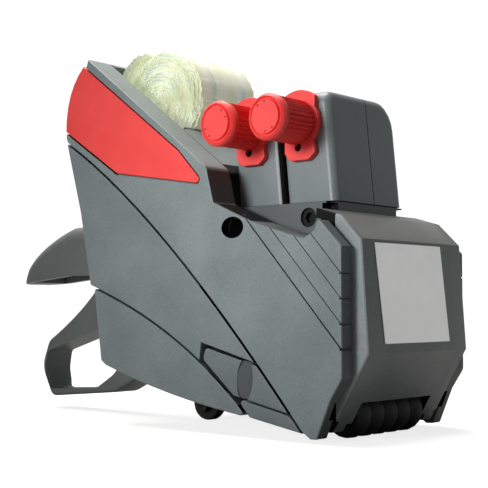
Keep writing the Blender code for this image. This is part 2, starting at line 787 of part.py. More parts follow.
def head_bed():
    bed = box("head_bed", (BED_REAR_X, -BED_HALF, BED_SEAT + GAP), (BED_FRONT_X, BED_HALF, HEAD_LEDGE))
    flange_low = (BED_REAR_X, -PLATE_OUTER, BED_SEAT + GAP)
    flange_high = (BED_FRONT_X, PLATE_OUTER, BED_SEAT + GAP + BED_FLANGE)
    fuse(bed, box("flange", flange_low, flange_high))
    nose_low = (BED_FRONT_X - OVER, -HEAD_HALF, HEAD_LEDGE - BED_NOSE_HIGH)
    fuse(bed, box("nose", nose_low, (BED_NOSE_X, HEAD_FAR, HEAD_LEDGE)))
    for side in (-1, 1):
        notch_y = sorted((side * (HALF + OVER), side * (BED_HALF - BED_NOTCH)))
        notch_low = (BED_NOSE_X - BED_NOTCH, notch_y[0], HEAD_LEDGE - BED_NOSE_HIGH + OVER / 4)
        cut(bed, box("notch", notch_low, (BED_NOSE_X + OVER, notch_y[1], HEAD_LEDGE - OVER / 4)))
    for side in (-1, 1):
        guide = circle((0, 0), GUIDE_RADIUS, 16)
        rings = []
        for z in (PLATEN_TOP + GAP, BED_SEAT + 2 * GAP):
            rings.append([(GUIDE_X + x, side * GUIDE_Y + y, z) for x, y in guide])
        fuse(bed, solid("guide", rings))
        recess = circle(SCREW_AT, SCREW_RECESS, 24)
        cut(bed, slab("recess", recess, side * (BED_HALF + OVER), side * (BED_HALF - SCREW_RECESS_DEPTH)))
        shank = circle(SCREW_AT, SCREW_SHANK + GAP, 16)
        end = BED_HALF - SCREW_RECESS_DEPTH - SCREW_LENGTH
        cut(bed, slab("shank", shank, side * (BED_HALF + OVER), side * end))
    for name, x in head_places():
        low_x = x - HEAD_LENGTH + BED_WINDOW_MARGIN
        high = (x - BED_WINDOW_MARGIN, BED_WINDOW_HALF - GUIDE_RADIUS - OVER, HEAD_LEDGE + OVER)
        cut(bed, box("window", (low_x, -high[1], BED_SEAT - OVER), high))
    grey(bed)
    return bed


def bed_screw(label, side):
    head_y = BED_HALF - SCREW_RECESS_DEPTH + GAP
    screw = rod("bed_screw_" + label, SCREW_AT, SCREW_HEAD, side * (head_y + OVER), side * head_y, 24)
    end = BED_HALF - SCREW_RECESS_DEPTH - SCREW_LENGTH + GAP
    fuse(screw, rod("shank", SCREW_AT, SCREW_SHANK, side * (head_y + OVER / 2), side * end, 16))
    floor_y = head_y + OVER / 3
    cut(screw, rod("socket", SCREW_AT, SCREW_SOCKET, side * (head_y + 2 * OVER), side * floor_y, 6))
    steel(screw)
    return screw


# Print heads with their knobs


def head_places():
    # Front edge of each print head.
    return (("front", HEAD_FRONT_X), ("rear", HEAD_FRONT_X - HEAD_PITCH))


def knob_x(front_x):
    return front_x - HEAD_LENGTH / 2 - KNOB_INSET / 2


def head_body(name, front_x):
    corners = [
        ((-HEAD_HALF, HEAD_LEDGE + GAP), 0.0),
        ((HEAD_FAR, HEAD_LEDGE + GAP), 0.0),
        ((HEAD_FAR, HEAD_TOP), HEAD_ROUND),
        ((-HEAD_HALF, HEAD_TOP), HEAD_ROUND / 2),
    ]
    face = rounded(corners, 5)
    rings = []
    steps = 3
    levels = []
    for step in range(steps + 1):
        turn = math.pi / 2 * step / steps
        levels.append((HEAD_EDGE * (1 - math.cos(turn)), HEAD_EDGE * (1 - math.sin(turn))))
    depths = [(front_x - depth, shrink) for depth, shrink in levels]
    depths += [(front_x - HEAD_LENGTH + depth, shrink) for depth, shrink in levels[::-1]]
    rise = HEAD_TOP - HEAD_LEDGE
    for x, shrink in depths:
        ring = []
        for y, z in face:
            grow = (HEAD_HALF - shrink) / HEAD_HALF
            top = z if z < HEAD_LEDGE + 2 * GAP else z - shrink * (z - HEAD_LEDGE) / rise
            ring.append((x - HEAD_LEAN * (top - HEAD_LEDGE) / rise, y * grow, top))
        rings.append(ring)
    head = solid(name, rings)
    near = HEAD_WALL - HEAD_HALF
    far = HEAD_FAR - HEAD_WALL
    ceiling = HEAD_TOP - HEAD_WALL
    room = rounded([
        ((near, HEAD_LEDGE - OVER), 0.0),
        ((far, HEAD_LEDGE - OVER), 0.0),
        ((far, ceiling), HEAD_ROUND - HEAD_WALL),
        ((near, ceiling), HEAD_ROUND / 2 - HEAD_WALL),
    ], 3)
    ends = (front_x - HEAD_LENGTH + HEAD_WALL, front_x - HEAD_WALL - HEAD_LEAN)
    cut(head, solid("hollow", [[(x, y, z) for y, z in room] for x in ends]))
    return head


def head_case(label, front_x):
    case = head_body("head_case_" + label, front_x)
    reach = HEAD_LENGTH + HEAD_LEAN
    far_low = (front_x - 2 * reach, HEAD_SPLIT - HEAD_SEAM / 2, 0)
    cut(case, box("far", far_low, (front_x + reach, HALF, HEAD_TOP + OVER)))
    axis = (knob_x(front_x), KNOB_AXIS_Z)
    cut(case, rod("bore", axis, SLEEVE_FLANGE + GAP, -HALF, -HEAD_HALF / 2, 24))
    grey(case)
    return case


def head_cap(label, front_x):
    cap = head_body("head_cap_" + label, front_x)
    reach = HEAD_LENGTH + HEAD_LEAN
    near_high = (front_x + reach, HEAD_SPLIT + HEAD_SEAM / 2, HEAD_TOP + OVER)
    cut(cap, box("near", (front_x - 2 * reach, -HALF, 0), near_high))
    grey(cap)
    return cap


def knob_bracket(label, front_x):
    # Red plate on the head face: a round middle, a lower lobe with an eye and an upper ear.
    x, z = knob_x(front_x), KNOB_AXIS_Z
    r = BRACKET_RADIUS
    lobe = [((0.72, -0.72), 0.0), ((0.86, -1.20), 0.0018), ((0.50, -1.50), 0.0022),
            ((-0.40, -1.50), 0.0022), ((-0.68, -1.20), 0.0018), ((-0.68, -0.74), 0.0)]
    low = rounded([((x + a * r, z + b * r), radius) for (a, b), radius in lobe], 3)
    high = arc((x, z), BRACKET_EAR, 128, 50, 8)
    left = arc((x, z), r, 215, 145, 5)
    right = arc((x, z), r, 35, -35, 5)
    face_y = HEAD_HALF + GAP
    plate = slab("knob_bracket_" + label, low + left + high + right,
                 -face_y - BRACKET_THICK, -face_y, 0.0004)
    bore = SLEEVE_FLANGE + GAP
    cut(plate, rod("bore", (x, z), bore, -HALF, 0, 24))
    cut(plate, rod("eye", (x, z - EYE_DROP), BRACKET_EYE, -HALF, 0, 16))
    red(plate)
    return plate


def knob_face_y():
    return -HEAD_HALF - 2 * GAP - BRACKET_THICK


def knob_sleeve(label, front_x):
    # Slides with the knob without turning, inside the head's bore.
    axis = (knob_x(front_x), KNOB_AXIS_Z)
    outer = knob_face_y() - SLEEVE_LENGTH
    inner = -HEAD_HALF + HEAD_WALL + GAP
    sleeve = rod("knob_sleeve_" + label, axis, KNOB_BORE - SLIDING_FIT, outer, inner, 20)
    fuse(sleeve, rod("flange", axis, SLEEVE_FLANGE, knob_face_y() + GAP, inner, 24))
    dark(sleeve)
    pivot_at(sleeve, axis[0], knob_face_y(), axis[1])
    return sleeve


def knob(label, front_x):
    axis = (knob_x(front_x), KNOB_AXIS_Z)
    base = knob_face_y() - GAP
    tip = base - KNOB_LENGTH
    collar = tip + 0.0035
    profile = [
        (base, KNOB_RADIUS * 0.96, 1), (collar, KNOB_RADIUS * 0.96, 1),
        (collar - 0.0004, KNOB_RADIUS * 0.98, 0), (collar - 0.0020, KNOB_RADIUS, 0),
        (tip + 0.0008, KNOB_RADIUS * 0.95, 0), (tip + 0.0002, KNOB_RADIUS * 0.87, 0),
        (tip + 0.0004, KNOB_DISC + 0.0002, 0), (tip + 0.0009, KNOB_DISC, 0),
        (tip + 0.0009, KNOB_DISC - 0.0003, 0), (tip, KNOB_DISC - 0.0006, 0),
    ]
    rings = []
    for y, radius, fluted in profile:
        ring = []
        for index in range(2 * KNOB_FLUTES):
            angle = math.pi * index / KNOB_FLUTES
            reach = radius - (KNOB_FLUTE if fluted and index % 2 else 0)
            ring.append((axis[0] + reach * math.cos(angle), y, axis[1] + reach * math.sin(angle)))
        rings.append(ring)
    turn = solid("knob_" + label, rings)
    cut(turn, rod("bore", axis, KNOB_BORE, base + OVER, base - SLEEVE_LENGTH - GAP, 20))
    red(turn)
    pivot_at(turn, axis[0], base, axis[1])
    return turn


def type_wheels(label, front_x):
    axis = (front_x - HEAD_LENGTH / 2 - HEAD_LEAN / 2, KNOB_AXIS_Z - HEAD_EDGE)
    faces = circle(axis, TYPE_RADIUS, TYPE_FACES)
    waist = circle(axis, TYPE_RADIUS * 0.9, TYPE_FACES)
    pitch = 2 * TYPE_HALF / TYPE_RINGS
    rings = []
    for row in range(TYPE_RINGS):
        start = -TYPE_HALF + row * pitch
        for y, outline in ((start, waist), (start + pitch * 0.12, faces), (start + pitch * 0.88, faces)):
            rings.append([(x, y, z) for x, z in outline])
    rings.append([(x, TYPE_HALF, z) for x, z in waist])
    wheels = solid("type_wheels_" + label, rings)
    end = HEAD_FAR - HEAD_WALL - GAP
    fuse(wheels, rod("shaft", axis, TYPE_SHAFT, -TYPE_HALF - 0.0006, end, 16))
    rubber(wheels)
    pivot_at(wheels, axis[0], 0, axis[1])
    return wheels


# Label roll and bay


def label_roll():
    # One strip of tape wound from the core outwards, its inner turns pushed out to the right.
    start = CORE_RADIUS + GAP
    pitch = (ROLL_RADIUS - TAPE_THICK - start) / ROLL_TURNS
    rings = []
    for step in range(ROLL_TURNS * TAPE_STEPS + 1):
        turn = step / TAPE_STEPS
        angle = 2 * math.pi * turn
        radius = start + pitch * turn
        slip = TAPE_SLIP * math.sin(2.3 * turn) * math.sin(0.9 * turn + 0.6)
        slip -= TELESCOPE * (1 - turn / ROLL_TURNS)
        near, far = slip - ROLL_HALF, slip + ROLL_HALF
        cos, sin = math.cos(angle), math.sin(angle)
        corners = ((radius, near), (radius + TAPE_THICK, near), (radius + TAPE_THICK, far), (radius, far))
        rings.append([(ROLL_AT[0] + r * cos, y, ROLL_AT[1] + r * sin) for r, y in corners])
    pairs = zip(rings[TAPE_STEPS:], rings)
    least = min(math.hypot(a[0][0] - b[1][0], a[0][2] - b[1][2]) for a, b in pairs)
    print("label roll, least gap between turns in mm: %.3f" % (least * 1000))
    roll = solid("label_roll", rings)
    paint(roll, (0.80, 0.84, 0.70), 0.8)
    pivot_at(roll, ROLL_AT[0], 0, ROLL_AT[1])
    return roll


def roll_core():
    core = rod("roll_core", ROLL_AT, CORE_RADIUS, -ROLL_HALF - TELESCOPE, ROLL_HALF - TELESCOPE, 24)
    cut(core, rod("bore", ROLL_AT, CORE_RADIUS - CORE_WALL, -HALF, HALF, 24))
    paint(core, (0.45, 0.36, 0.25), 0.85)
    pivot_at(core, ROLL_AT[0], 0, ROLL_AT[1])
    return core


def bay_floor():
    inner = arc(ROLL_AT, ROLL_RADIUS + BAY_CLEAR, BAY_REAR_ANGLE, BAY_FRONT_ANGLE, 14)
    outer = arc(ROLL_AT, ROLL_RADIUS + BAY_CLEAR + BAY_FLOOR, BAY_FRONT_ANGLE, BAY_REAR_ANGLE, 14)
    trough = slab("bay_floor", inner + outer, -BETWEEN, BETWEEN)
    dark(trough)
    return trough


def bay_deck():
    # Plate in the plane of the shells' top edges, in front of the roll, on one cross wall.
    rear = (DECK_REAR_X, bay_top(DECK_REAR_X))
    front = (DECK_FRONT_X, bay_top(DECK_FRONT_X))
    outline = [rear, front] + shifted([front, rear], 0, -DECK_THICK)
    deck = slab("bay_deck", outline, -PLATE_OUTER, PLATE_OUTER)
    top = bay_top(DECK_LEG_X + DECK_LEG) - DECK_THICK / 2
    fuse(deck, box("leg", (DECK_LEG_X, -BETWEEN, DECK_FOOT), (DECK_LEG_X + DECK_LEG, BETWEEN, top)))
    grey(deck)
    return deck


# Handle and lever


def rear_edge_x(z):
    # Outer face of the rear wall at a given height.
    return WAIST[0] + (z - WAIST[1]) * (REAR_MID[0] - WAIST[0]) / (REAR_MID[1] - WAIST[1])


def handle_section(spot, top, low, half, corner):
    # One cross section of the handle, square below and rounded along its top edges.
    radius = min(corner, 0.9 * half, 0.9 * (top - low))
    left = [(half - radius + y, top - radius + z) for y, z in arc((0, 0), radius, 0, 90, 4)]
    right = [(-y, z) for y, z in left[::-1]]
    outline = [(half, low)] + left + right + [(-half, low)]
    if spot is None:
        return [(rear_edge_x(z) - GAP, y, z) for y, z in outline]
    return [(spot, y, z) for y, z in outline]


def handle_shape(name, wall, floor, front):
    # The handle drawn back from the rear wall to its narrowed tip; a wall makes it smaller.
    corner = HANDLE_ROUND - wall
    rings = [handle_section(front, HANDLE_TOP_Z - wall, HANDLE_LIP_Z - floor, HANDLE_HALF - wall, corner)]
    end_x = HANDLE_TIP[0] + 2 * wall
    for x, top in bezier(HANDLE_BROW, HANDLE_PULL, HANDLE_TIP, 9):
        share = (HANDLE_TIP[0] + HANDLE_NOSE - x) / HANDLE_NOSE
        narrow = math.sqrt(1 - 0.8 * share * share) if share > 0 else 1
        along = (x - HANDLE_BROW[0]) / (HANDLE_TIP[0] - HANDLE_BROW[0])
        low = HANDLE_LIP_Z + along * (HANDLE_TIP[1] - HANDLE_LIP_Z)
        high = max(top - wall, low + HANDLE_BLUNT)
        if x >= end_x:
            rings.append(handle_section(x, high, low - floor, HANDLE_HALF * narrow - wall, corner))
    return solid(name, rings)


def handle():
    grip = handle_shape("grip_handle", 0.0, 0.0, None)
    cut(grip, handle_shape("hollow", HANDLE_WALL, OVER, rear_edge_x(HANDLE_LIP_Z) + OVER))
    grey(grip)
    return grip


def lever_outline():
    boss = arc(LEVER_PIVOT, LEVER_BOSS, -90, 80, 8)
    start = tuple(a + 0.3 * (b - a) for a, b in zip(LEVER_SHOULDER, LEVER_NAPE))
    shoulder = rounded([(boss[-1], 0.0), (LEVER_SHOULDER, 0.0050), (start, 0.0)], 3)
    nape = bezier(start, LEVER_NAPE, LEVER_TAIL_TOP, 6)[1:-1]
    tail = rounded([
        (nape[-1], 0.0),
        (LEVER_TAIL_TOP, 0.0040),
        (LEVER_TAIL, 0.0090),
        (LEVER_TAIL_LOW, 0.0035),
        (LEVER_BAR_REAR, 0.0),
        (LEVER_BAR, 0.0100),
        (LEVER_ARM_LOW, 0.0060),
        (boss[0], 0.0),
    ], 4)
    return boss[1:-1] + shoulder + nape[:-1] + tail


def lever():
    arm = slab("squeeze_lever", lever_outline(), -LEVER_HALF, LEVER_HALF, LEVER_EDGE, LEVER_EDGE, 3)
    loop = rounded([
        (LOOP_REAR, 0.0090), (LOOP_REAR_TOP, 0.0022), (LOOP_CEILING, 0.0030), (LOOP_FRONT, 0.0030),
        (LOOP_FLOOR, 0.0100), (LOOP_SILL, 0.0060), (LOOP_REAR_LOW, 0.0016),
    ], 3)
    cut(arm, slab("loop", loop, -LEVER_HALF - OVER, LEVER_HALF + OVER))
    cut(arm, rod("bore", LEVER_PIVOT, LEVER_PIN_RADIUS + RUNNING_FIT, -HALF, HALF, 24))
    grey(arm)
    pivot_at(arm, LEVER_PIVOT[0], 0, LEVER_PIVOT[1])
    return arm


def lever_pin():
    pin = rod("lever_pin", LEVER_PIVOT, LEVER_PIN_RADIUS, -BETWEEN, BETWEEN, 24)
    steel(pin)
    return pin


def lever_spring():
    # Torsion spring round the pin, with one straight tail along the arm and one to the plate.
    start_y = LEVER_HALF + 2 * SPRING_WIRE
    path = []
    steps = 12
    for step in range(SPRING_TURNS * steps + 1):
        angle = math.pi / 2 + 2 * math.pi * step / steps
        spot = Vector((LEVER_PIVOT[0] + SPRING_RADIUS * math.cos(angle), start_y + SPRING_PITCH * step / steps,
                       LEVER_PIVOT[1] + SPRING_RADIUS * math.sin(angle)))
        path.append((spot, Vector((math.cos(angle), 0, math.sin(angle)))))
    turns = [spot for spot, out in path]
    least = min((a - b).length for a, b in zip(turns[steps:], turns)) - 2 * SPRING_WIRE
    print("lever spring, least gap between turns in mm: %.3f" % (least * 1000))
    first, last = path[0], path[-1]
    path.insert(0, (first[0] + Vector((SPRING_TAIL, 0, 0)), first[1]))
    path.append((last[0] - Vector((SPRING_TAIL, 0, 0)), last[1]))
    rings = []
    for spot, out in path:
        side = Vector((0, 1, 0))
        ring = []
        for index in range(6):
            angle = math.pi * index / 3
            ring.append(spot + (out * math.cos(angle) + side * math.sin(angle)) * SPRING_WIRE)
        rings.append(ring)
    spring = solid("lever_spring", rings)
    steel(spring)
    return spring


# Latch and bottom plate


def latch_pad(label, side):
    pad = slab("latch_pad_" + label, latch_outline(), side * HALF, side * (HALF - LATCH_THICK), EDGE)
    rim, floor = [], []
    for x, z in circle((0, 0), 1, 24):
        spot = (THUMB_AT[0] + THUMB_HALF * x - THUMB_LEAN * THUMB_HIGH * z, THUMB_AT[1] + THUMB_HIGH * z)
        sunk = THUMB_LIP + THUMB_DEPTH * (1 + x) / 2
        rim.append((spot[0], side * (HALF + OVER), spot[1]))
        floor.append((spot[0], side * (HALF - sunk), spot[1]))
    cut(pad, solid("thumb", [rim, floor]))
    grey(pad)
    return pad


def latch_bar():
    x, z = LATCH_BAR_AT
    reach = HALF - LATCH_THICK - GAP
    half = LATCH_BAR / 2
    bar = box("latch_bar", (x - half, -reach, z - half), (x + half, reach, z + half))
    dark(bar)
    return bar


def bottom_plate():
    plate = slab("bottom_plate", bottom_outline(), -HALF, HALF, EDGE, EDGE)
    hollow = shifted(bottom_outline(), 0, BOTTOM_FLOOR)
    cut(plate, slab("hollow", hollow, -SHELL_INNER, SHELL_INNER))
    cut(plate, rod("bite", ROLLER_AT, ROLLER_RADIUS + 3 * GAP, -MOUTH_FOOT_HALF, MOUTH_FOOT_HALF, 24))
    for side in (-1, 1):
        front_x = BELLY_FRONT[0] + 2 * OVER
        ear = arc(PLATE_PIN, LUG_RADIUS, 90, 270, 8)
        ear += [(front_x, PLATE_PIN[1] - LUG_RADIUS), (front_x, PLATE_PIN[1] + LUG_RADIUS)]
        fuse(plate, slab("lug", ear, side * LUG_FROM, side * LUG_TO))
    cut(plate, rod("bore", PLATE_PIN, PLATE_PIN_RADIUS + RUNNING_FIT, -HALF, HALF, 16))
    grey(plate)
    pivot_at(plate, PLATE_PIN[0], 0, PLATE_PIN[1])
    return plate


def plate_pin():
    pin = rod("plate_pin", PLATE_PIN, PLATE_PIN_RADIUS, -SHELL_INNER + GAP, SHELL_INNER - GAP, 16)
    steel(pin)
    return pin


# Front cover, ink and applicator roller


def bowed(piece, front_x):
    # Gives the front of the cover its slight curve in plan.
    for vertex in piece.data.vertices:
        if vertex.co.x > front_x:
            share = 1 - (vertex.co.y / COVER_HALF) ** 2
            reach = min(1.0, (vertex.co.x - front_x) / (COVER_PROUD - front_x))
            vertex.co.x += COVER_BOW * max(0.0, share) * reach


def cover_profile(shrink, foot_share=1.0):
    front_x = COVER_PROUD - shrink
    slope = (COVER_FOOT[0] - COVER_PROUD) / (COVER_FOOT[1] - COVER_CREASE_Z)
    run = shrink * math.sqrt(1 + slope * slope)
    return [
        (COVER_TOP_REAR[0], COVER_TOP_REAR[1] - shrink * foot_share),
        (COVER_TOP_FRONT[0] - shrink / 2, COVER_TOP_FRONT[1] - shrink),
        (COVER_BROW[0] - shrink, COVER_BROW[1] - shrink / 2),
        (front_x, COVER_CREASE_Z + shrink / 2),
        (COVER_FOOT[0] - run * foot_share, COVER_FOOT[1]),
    ]


def cover_shape(shrink):
    # Full cover section, its front set back by the shrink, for the rounded side edges.
    rear_z = COVER_TOP_REAR[1] - 2 * COVER_WALL
    back = [(COVER_BACK_X, COVER_FOOT[1]), (COVER_BACK_X, rear_z), (COVER_TOP_REAR[0], rear_z)]
    return cover_profile(shrink, COVER_FOOT_SHARE) + back


def cover_hollow(shrink):
    inner = cover_profile(COVER_WALL)
    rear_x = COVER_BACK_X - OVER
    return inner[1:] + [(inner[-1][0], -OVER), (rear_x, -OVER), (rear_x, inner[1][1])]


def ribbon(name, shape, half, edge, slices):
    # The section drawn across the gun in slices, so that it can be bowed.
    steps = 4 if edge else 0
    levels = []
    for step in range(steps):
        turn = math.pi / 2 * step / steps
        levels.append((half - edge * (1 - math.cos(turn)), edge * (1 - math.sin(turn))))
    middle = [((half - edge) * (1 - 2 * step / slices), 0.0) for step in range(slices + 1)]
    levels += middle + [(-y, shrink) for y, shrink in levels[::-1]]
    return solid(name, [[(x, y, z) for x, z in shape(shrink)] for y, shrink in levels])


def front_cover():
    cover = ribbon("front_cover", cover_shape, COVER_HALF, COVER_ROUND, 10)
    bowed(cover, COVER_FOOT[0])
    hollow = ribbon("hollow", cover_hollow, COVER_HALF - COVER_WALL, 0.0, 10)
    bowed(hollow, COVER_FOOT[0])
    cut(cover, hollow)
    mouth_low = (COVER_BACK_X - OVER, -MOUTH_HALF, -OVER)
    cut(cover, box("mouth", mouth_low, (NOSE_X + OVER, MOUTH_HALF, MOUTH_TOP)))
    foot_low = (COVER_BACK_X - OVER, -MOUTH_FOOT_HALF, -OVER)
    cut(cover, box("foot", foot_low, (NOSE_X + OVER, MOUTH_FOOT_HALF, MOUTH_FOOT_TOP)))
    for side in (-1, 1):
        root = side * (COVER_HALF - COVER_WALL / 2)
        fuse(cover, rod("pin", COVER_HINGE, COVER_PIN_RADIUS, root, side * (HALF - SHELL_WALL), 16))
    grey(cover)
    pivot_at(cover, COVER_HINGE[0], 0, COVER_HINGE[1])
    return cover


def applicator_roller():
    steps = 5
    rings = []
    for lobe in range(ROLLER_LOBES):
        for step in range(steps if lobe < ROLLER_LOBES - 1 else steps + 1):
            share = step / steps
            y = -ROLLER_HALF + (lobe + share) * 2 * ROLLER_HALF / ROLLER_LOBES
            swell = math.sqrt(math.sin(math.pi * share)) if 0 < share < 1 else 0
            radius = ROLLER_RADIUS - ROLLER_GROOVE * (1 - swell)
            rings.append([(x, y, z) for x, z in circle(ROLLER_AT, radius, 20)])
    roller = solid("applicator_roller", rings)
    cut(roller, rod("bore", ROLLER_AT, ROLLER_AXLE + RUNNING_FIT, -HALF, HALF, 16))
    rubber(roller)
    pivot_at(roller, ROLLER_AT[0], 0, ROLLER_AT[1])
    return roller


def roller_axle():
    reach = ROLLER_HALF + GAP + ARM_THICK
    axle = rod("roller_axle", ROLLER_AT, ROLLER_AXLE, -reach, reach, 16)
    steel(axle)
    return axle


def roller_bracket():
    # Sheet-metal yoke: two arms with eyes, joined behind the roller and fixed between the plates.
    inner = ROLLER_HALF + GAP
    rear_x = ARM_REAR_X - ARM_BRIDGE
    arm_low = (ARM_REAR_X, ROLLER_AT[1])
    eye = arc(ROLLER_AT, ARM_EYE, -100, 80, 8)
    outline = [arm_low] + eye + [(ARM_REAR_X, ARM_REAR_Z), (rear_x, ARM_REAR_Z), (rear_x, ROLLER_AT[1])]
    yoke = slab("roller_bracket", outline, -inner - ARM_THICK, -inner)
    fuse(yoke, slab("arm", outline, inner, inner + ARM_THICK))
    back_low = (rear_x, -inner - ARM_THICK / 2, ARM_REAR_Z - 2 * ARM_EYE)
    fuse(yoke, box("back", back_low, (ARM_REAR_X, inner + ARM_THICK / 2, ARM_REAR_Z)))
    cut(yoke, rod("bore", ROLLER_AT, ROLLER_AXLE + GAP, -HALF, HALF, 16))
    steel(yoke)
    return yoke


def ink_cartridge():
    rear_x = BED_FRONT_X
    case = box("ink_cartridge", (rear_x, -INK_HALF, INK_LOW), (INK_FRONT_X, INK_HALF, INK_TOP))
    hollow_low = (rear_x + INK_WALL, -INK_HALF + INK_WALL, INK_LOW - OVER)
    cut(case, box("hollow", hollow_low, (INK_FRONT_X - INK_WALL, INK_HALF - INK_WALL, INK_TOP - INK_WALL)))
    cut(case, rod("bore", INK_ROLLER_AT, INK_AXLE + RUNNING_FIT, -HALF, HALF, 16))
    for side in (-1, 1):
        tab_y = sorted((side * (INK_HALF - INK_WALL / 2), side * PLATE_OUTER))
        tab_low = (rear_x, tab_y[0], INK_TOP - 2 * INK_WALL)
        fuse(case, box("tab", tab_low, (rear_x + INK_WALL, tab_y[1], INK_TOP)))
    dark(case)
    return case


def ink_roller():
    half = INK_HALF - INK_WALL - GAP
    roller = rod("ink_roller", INK_ROLLER_AT, INK_ROLLER, -half, half, 20)
    fuse(roller, rod("axle", INK_ROLLER_AT, INK_AXLE, -INK_HALF, INK_HALF, 16))
    rubber(roller)
    pivot_at(roller, INK_ROLLER_AT[0], 0, INK_ROLLER_AT[1])
    return roller


# Printing and feed parts between the plates


def platen():
    low = (PLATEN_REAR_X, -BETWEEN, PLATEN_TOP - PLATEN_THICK)
    table = box("platen", low, (PLATEN_FRONT_X, BETWEEN, PLATEN_TOP))
    steel(table)
    return table


def peel_plate():
    top_z = PLATEN_TOP - PLATEN_THICK - GAP
    rear_x = PLATEN_FRONT_X - 4 * OVER
    outline = [
        (rear_x, top_z), (rear_x, top_z - PEEL_THICK), (PLATEN_FRONT_X - PEEL_THICK, top_z - PEEL_THICK),
        (PEEL_EDGE[0] - PEEL_THICK, PEEL_EDGE[1] + ARM_BRIDGE), (PEEL_EDGE[0], PEEL_EDGE[1] + ARM_BRIDGE),
        (PLATEN_FRONT_X, top_z),
    ]
    plate = slab("peel_plate", outline, -PEEL_HALF, PEEL_HALF)
    steel(plate)
    return plate


def print_carriage():
    block = box("print_carriage", (CARRIAGE_REAR_X, -CARRIAGE_HALF, CARRIAGE_LOW),
                (CARRIAGE_FRONT_X, CARRIAGE_HALF, CARRIAGE_TOP))
    for side in (-1, 1):
        guide = circle((GUIDE_X, side * GUIDE_Y), GUIDE_RADIUS + RUNNING_FIT, 16)
        rings = [[(x, y, z) for x, y in guide] for z in (CARRIAGE_LOW - OVER, CARRIAGE_TOP + OVER)]
        cut(block, solid("guide", rings))
    dark(block)
    return block


def feed_shaft():
    shaft = rod("feed_shaft", FEED_AT, FEED_SHAFT, -PLATE_OUTER + GAP, PLATE_OUTER - GAP, 16)
    steel(shaft)
    pivot_at(shaft, FEED_AT[0], 0, FEED_AT[1])
    return shaft


def toothed(name, count, radius, depth, y_from, y_to, lean):
    outline = []
    for tooth in range(count):
        for share, reach in ((0.0, radius - depth), (lean, radius), (lean + 0.15, radius)):
            angle = 2 * math.pi * (tooth + share) / count
            outline.append((FEED_AT[0] + reach * math.cos(angle), FEED_AT[1] + reach * math.sin(angle)))
    wheel = slab(name, outline, y_from, y_to)
    cut(wheel, rod("bore", FEED_AT, FEED_SHAFT + GAP, -HALF, HALF, 16))
    pivot_at(wheel, FEED_AT[0], 0, FEED_AT[1])
    return wheel


def feed_wheel():
    wheel = toothed("feed_wheel", FEED_TEETH, FEED_RADIUS, FEED_TOOTH, -FEED_HALF, FEED_HALF, 0.4)
    rubber(wheel)
    return wheel


def ratchet_wheel():
    far = RATCHET_AT + RATCHET_THICK
    wheel = toothed("ratchet_wheel", FEED_TEETH, FEED_RADIUS, FEED_TOOTH, RATCHET_AT, far, 0.8)
    steel(wheel)
    return wheel


# Rear wheel


def support_wheel():
    centre = (WHEEL_X, WHEEL_RADIUS)
    wheel = rod("support_wheel", centre, WHEEL_RADIUS, -WHEEL_HALF, WHEEL_HALF, 32, WHEEL_CROWN)
    cut(wheel, rod("bore", centre, WHEEL_AXLE + RUNNING_FIT, -HALF, HALF, 16))
    rubber(wheel)
    pivot_at(wheel, WHEEL_X, 0, WHEEL_RADIUS)
    return wheel


def wheel_axle():
    reach = WHEEL_HALF + GAP + FORK_THICK
    axle = rod("wheel_axle", (WHEEL_X, WHEEL_RADIUS), WHEEL_AXLE, -reach, reach, 16)
    steel(axle)
    return axle


def wheel_fork():
    bridge_low = (WHEEL_X - FORK_BRIDGE_HALF, -BETWEEN, FORK_BRIDGE_LOW)
    fork = box("wheel_fork", bridge_low, (WHEEL_X + FORK_BRIDGE_HALF, BETWEEN, FORK_BRIDGE_TOP))
    centre = (WHEEL_X, WHEEL_RADIUS)
    for side in (-1, 1):
        cheek = arc(centre, FORK_HALF_LENGTH, 180, 360, 8)
        cheek += [(WHEEL_X + FORK_HALF_LENGTH, FORK_BRIDGE_LOW + OVER / 2),
                  (WHEEL_X - FORK_HALF_LENGTH, FORK_BRIDGE_LOW + OVER / 2)]
        inner = WHEEL_HALF + GAP
        fuse(fork, slab("cheek", cheek, side * inner, side * (inner + FORK_THICK)))
    cut(fork, rod("bore", centre, WHEEL_AXLE + GAP, -HALF, HALF, 16))
    rubber(fork)
    return fork


def build():
    pieces = []
    for label, side in SIDES:
        pieces += [upper_shell(label, side), inlay(label, side), rear_shell(label, side), lower_shell(label, side)]
        pieces += [chassis_plate(label, side), bed_screw(label, side), latch_pad(label, side)]
    for label, front_x in head_places():
        pieces += [head_case(label, front_x), head_cap(label, front_x), knob_bracket(label, front_x)]
        pieces += [knob_sleeve(label, front_x), knob(label, front_x), type_wheels(label, front_x)]
    pieces += [rear_wall(), head_bed(), bay_floor(), bay_deck(), label_roll(), roll_core()]
    pieces += [handle(), lever(), lever_pin(), lever_spring(), latch_bar(), bottom_plate(), plate_pin()]
    pieces += [front_cover(), applicator_roller(), roller_axle(), roller_bracket()]
    pieces += [ink_cartridge(), ink_roller(), platen(), peel_plate(), print_carriage()]
    pieces += [feed_shaft(), feed_wheel(), ratchet_wheel(), support_wheel(), wheel_axle(), wheel_fork()]
    place = bpy.data.objects.new("gun_place", None)
    place.location.x = -MID_X
    bpy.context.scene.collection.objects.link(place)
    for piece in pieces:
        piece.parent = place


for old in list(bpy.data.objects):
    bpy.data.objects.remove(old)
build()
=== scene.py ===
import json
import math

import bmesh
import bpy
from mathutils import Matrix, Vector
from mathutils.bvhtree import BVHTree

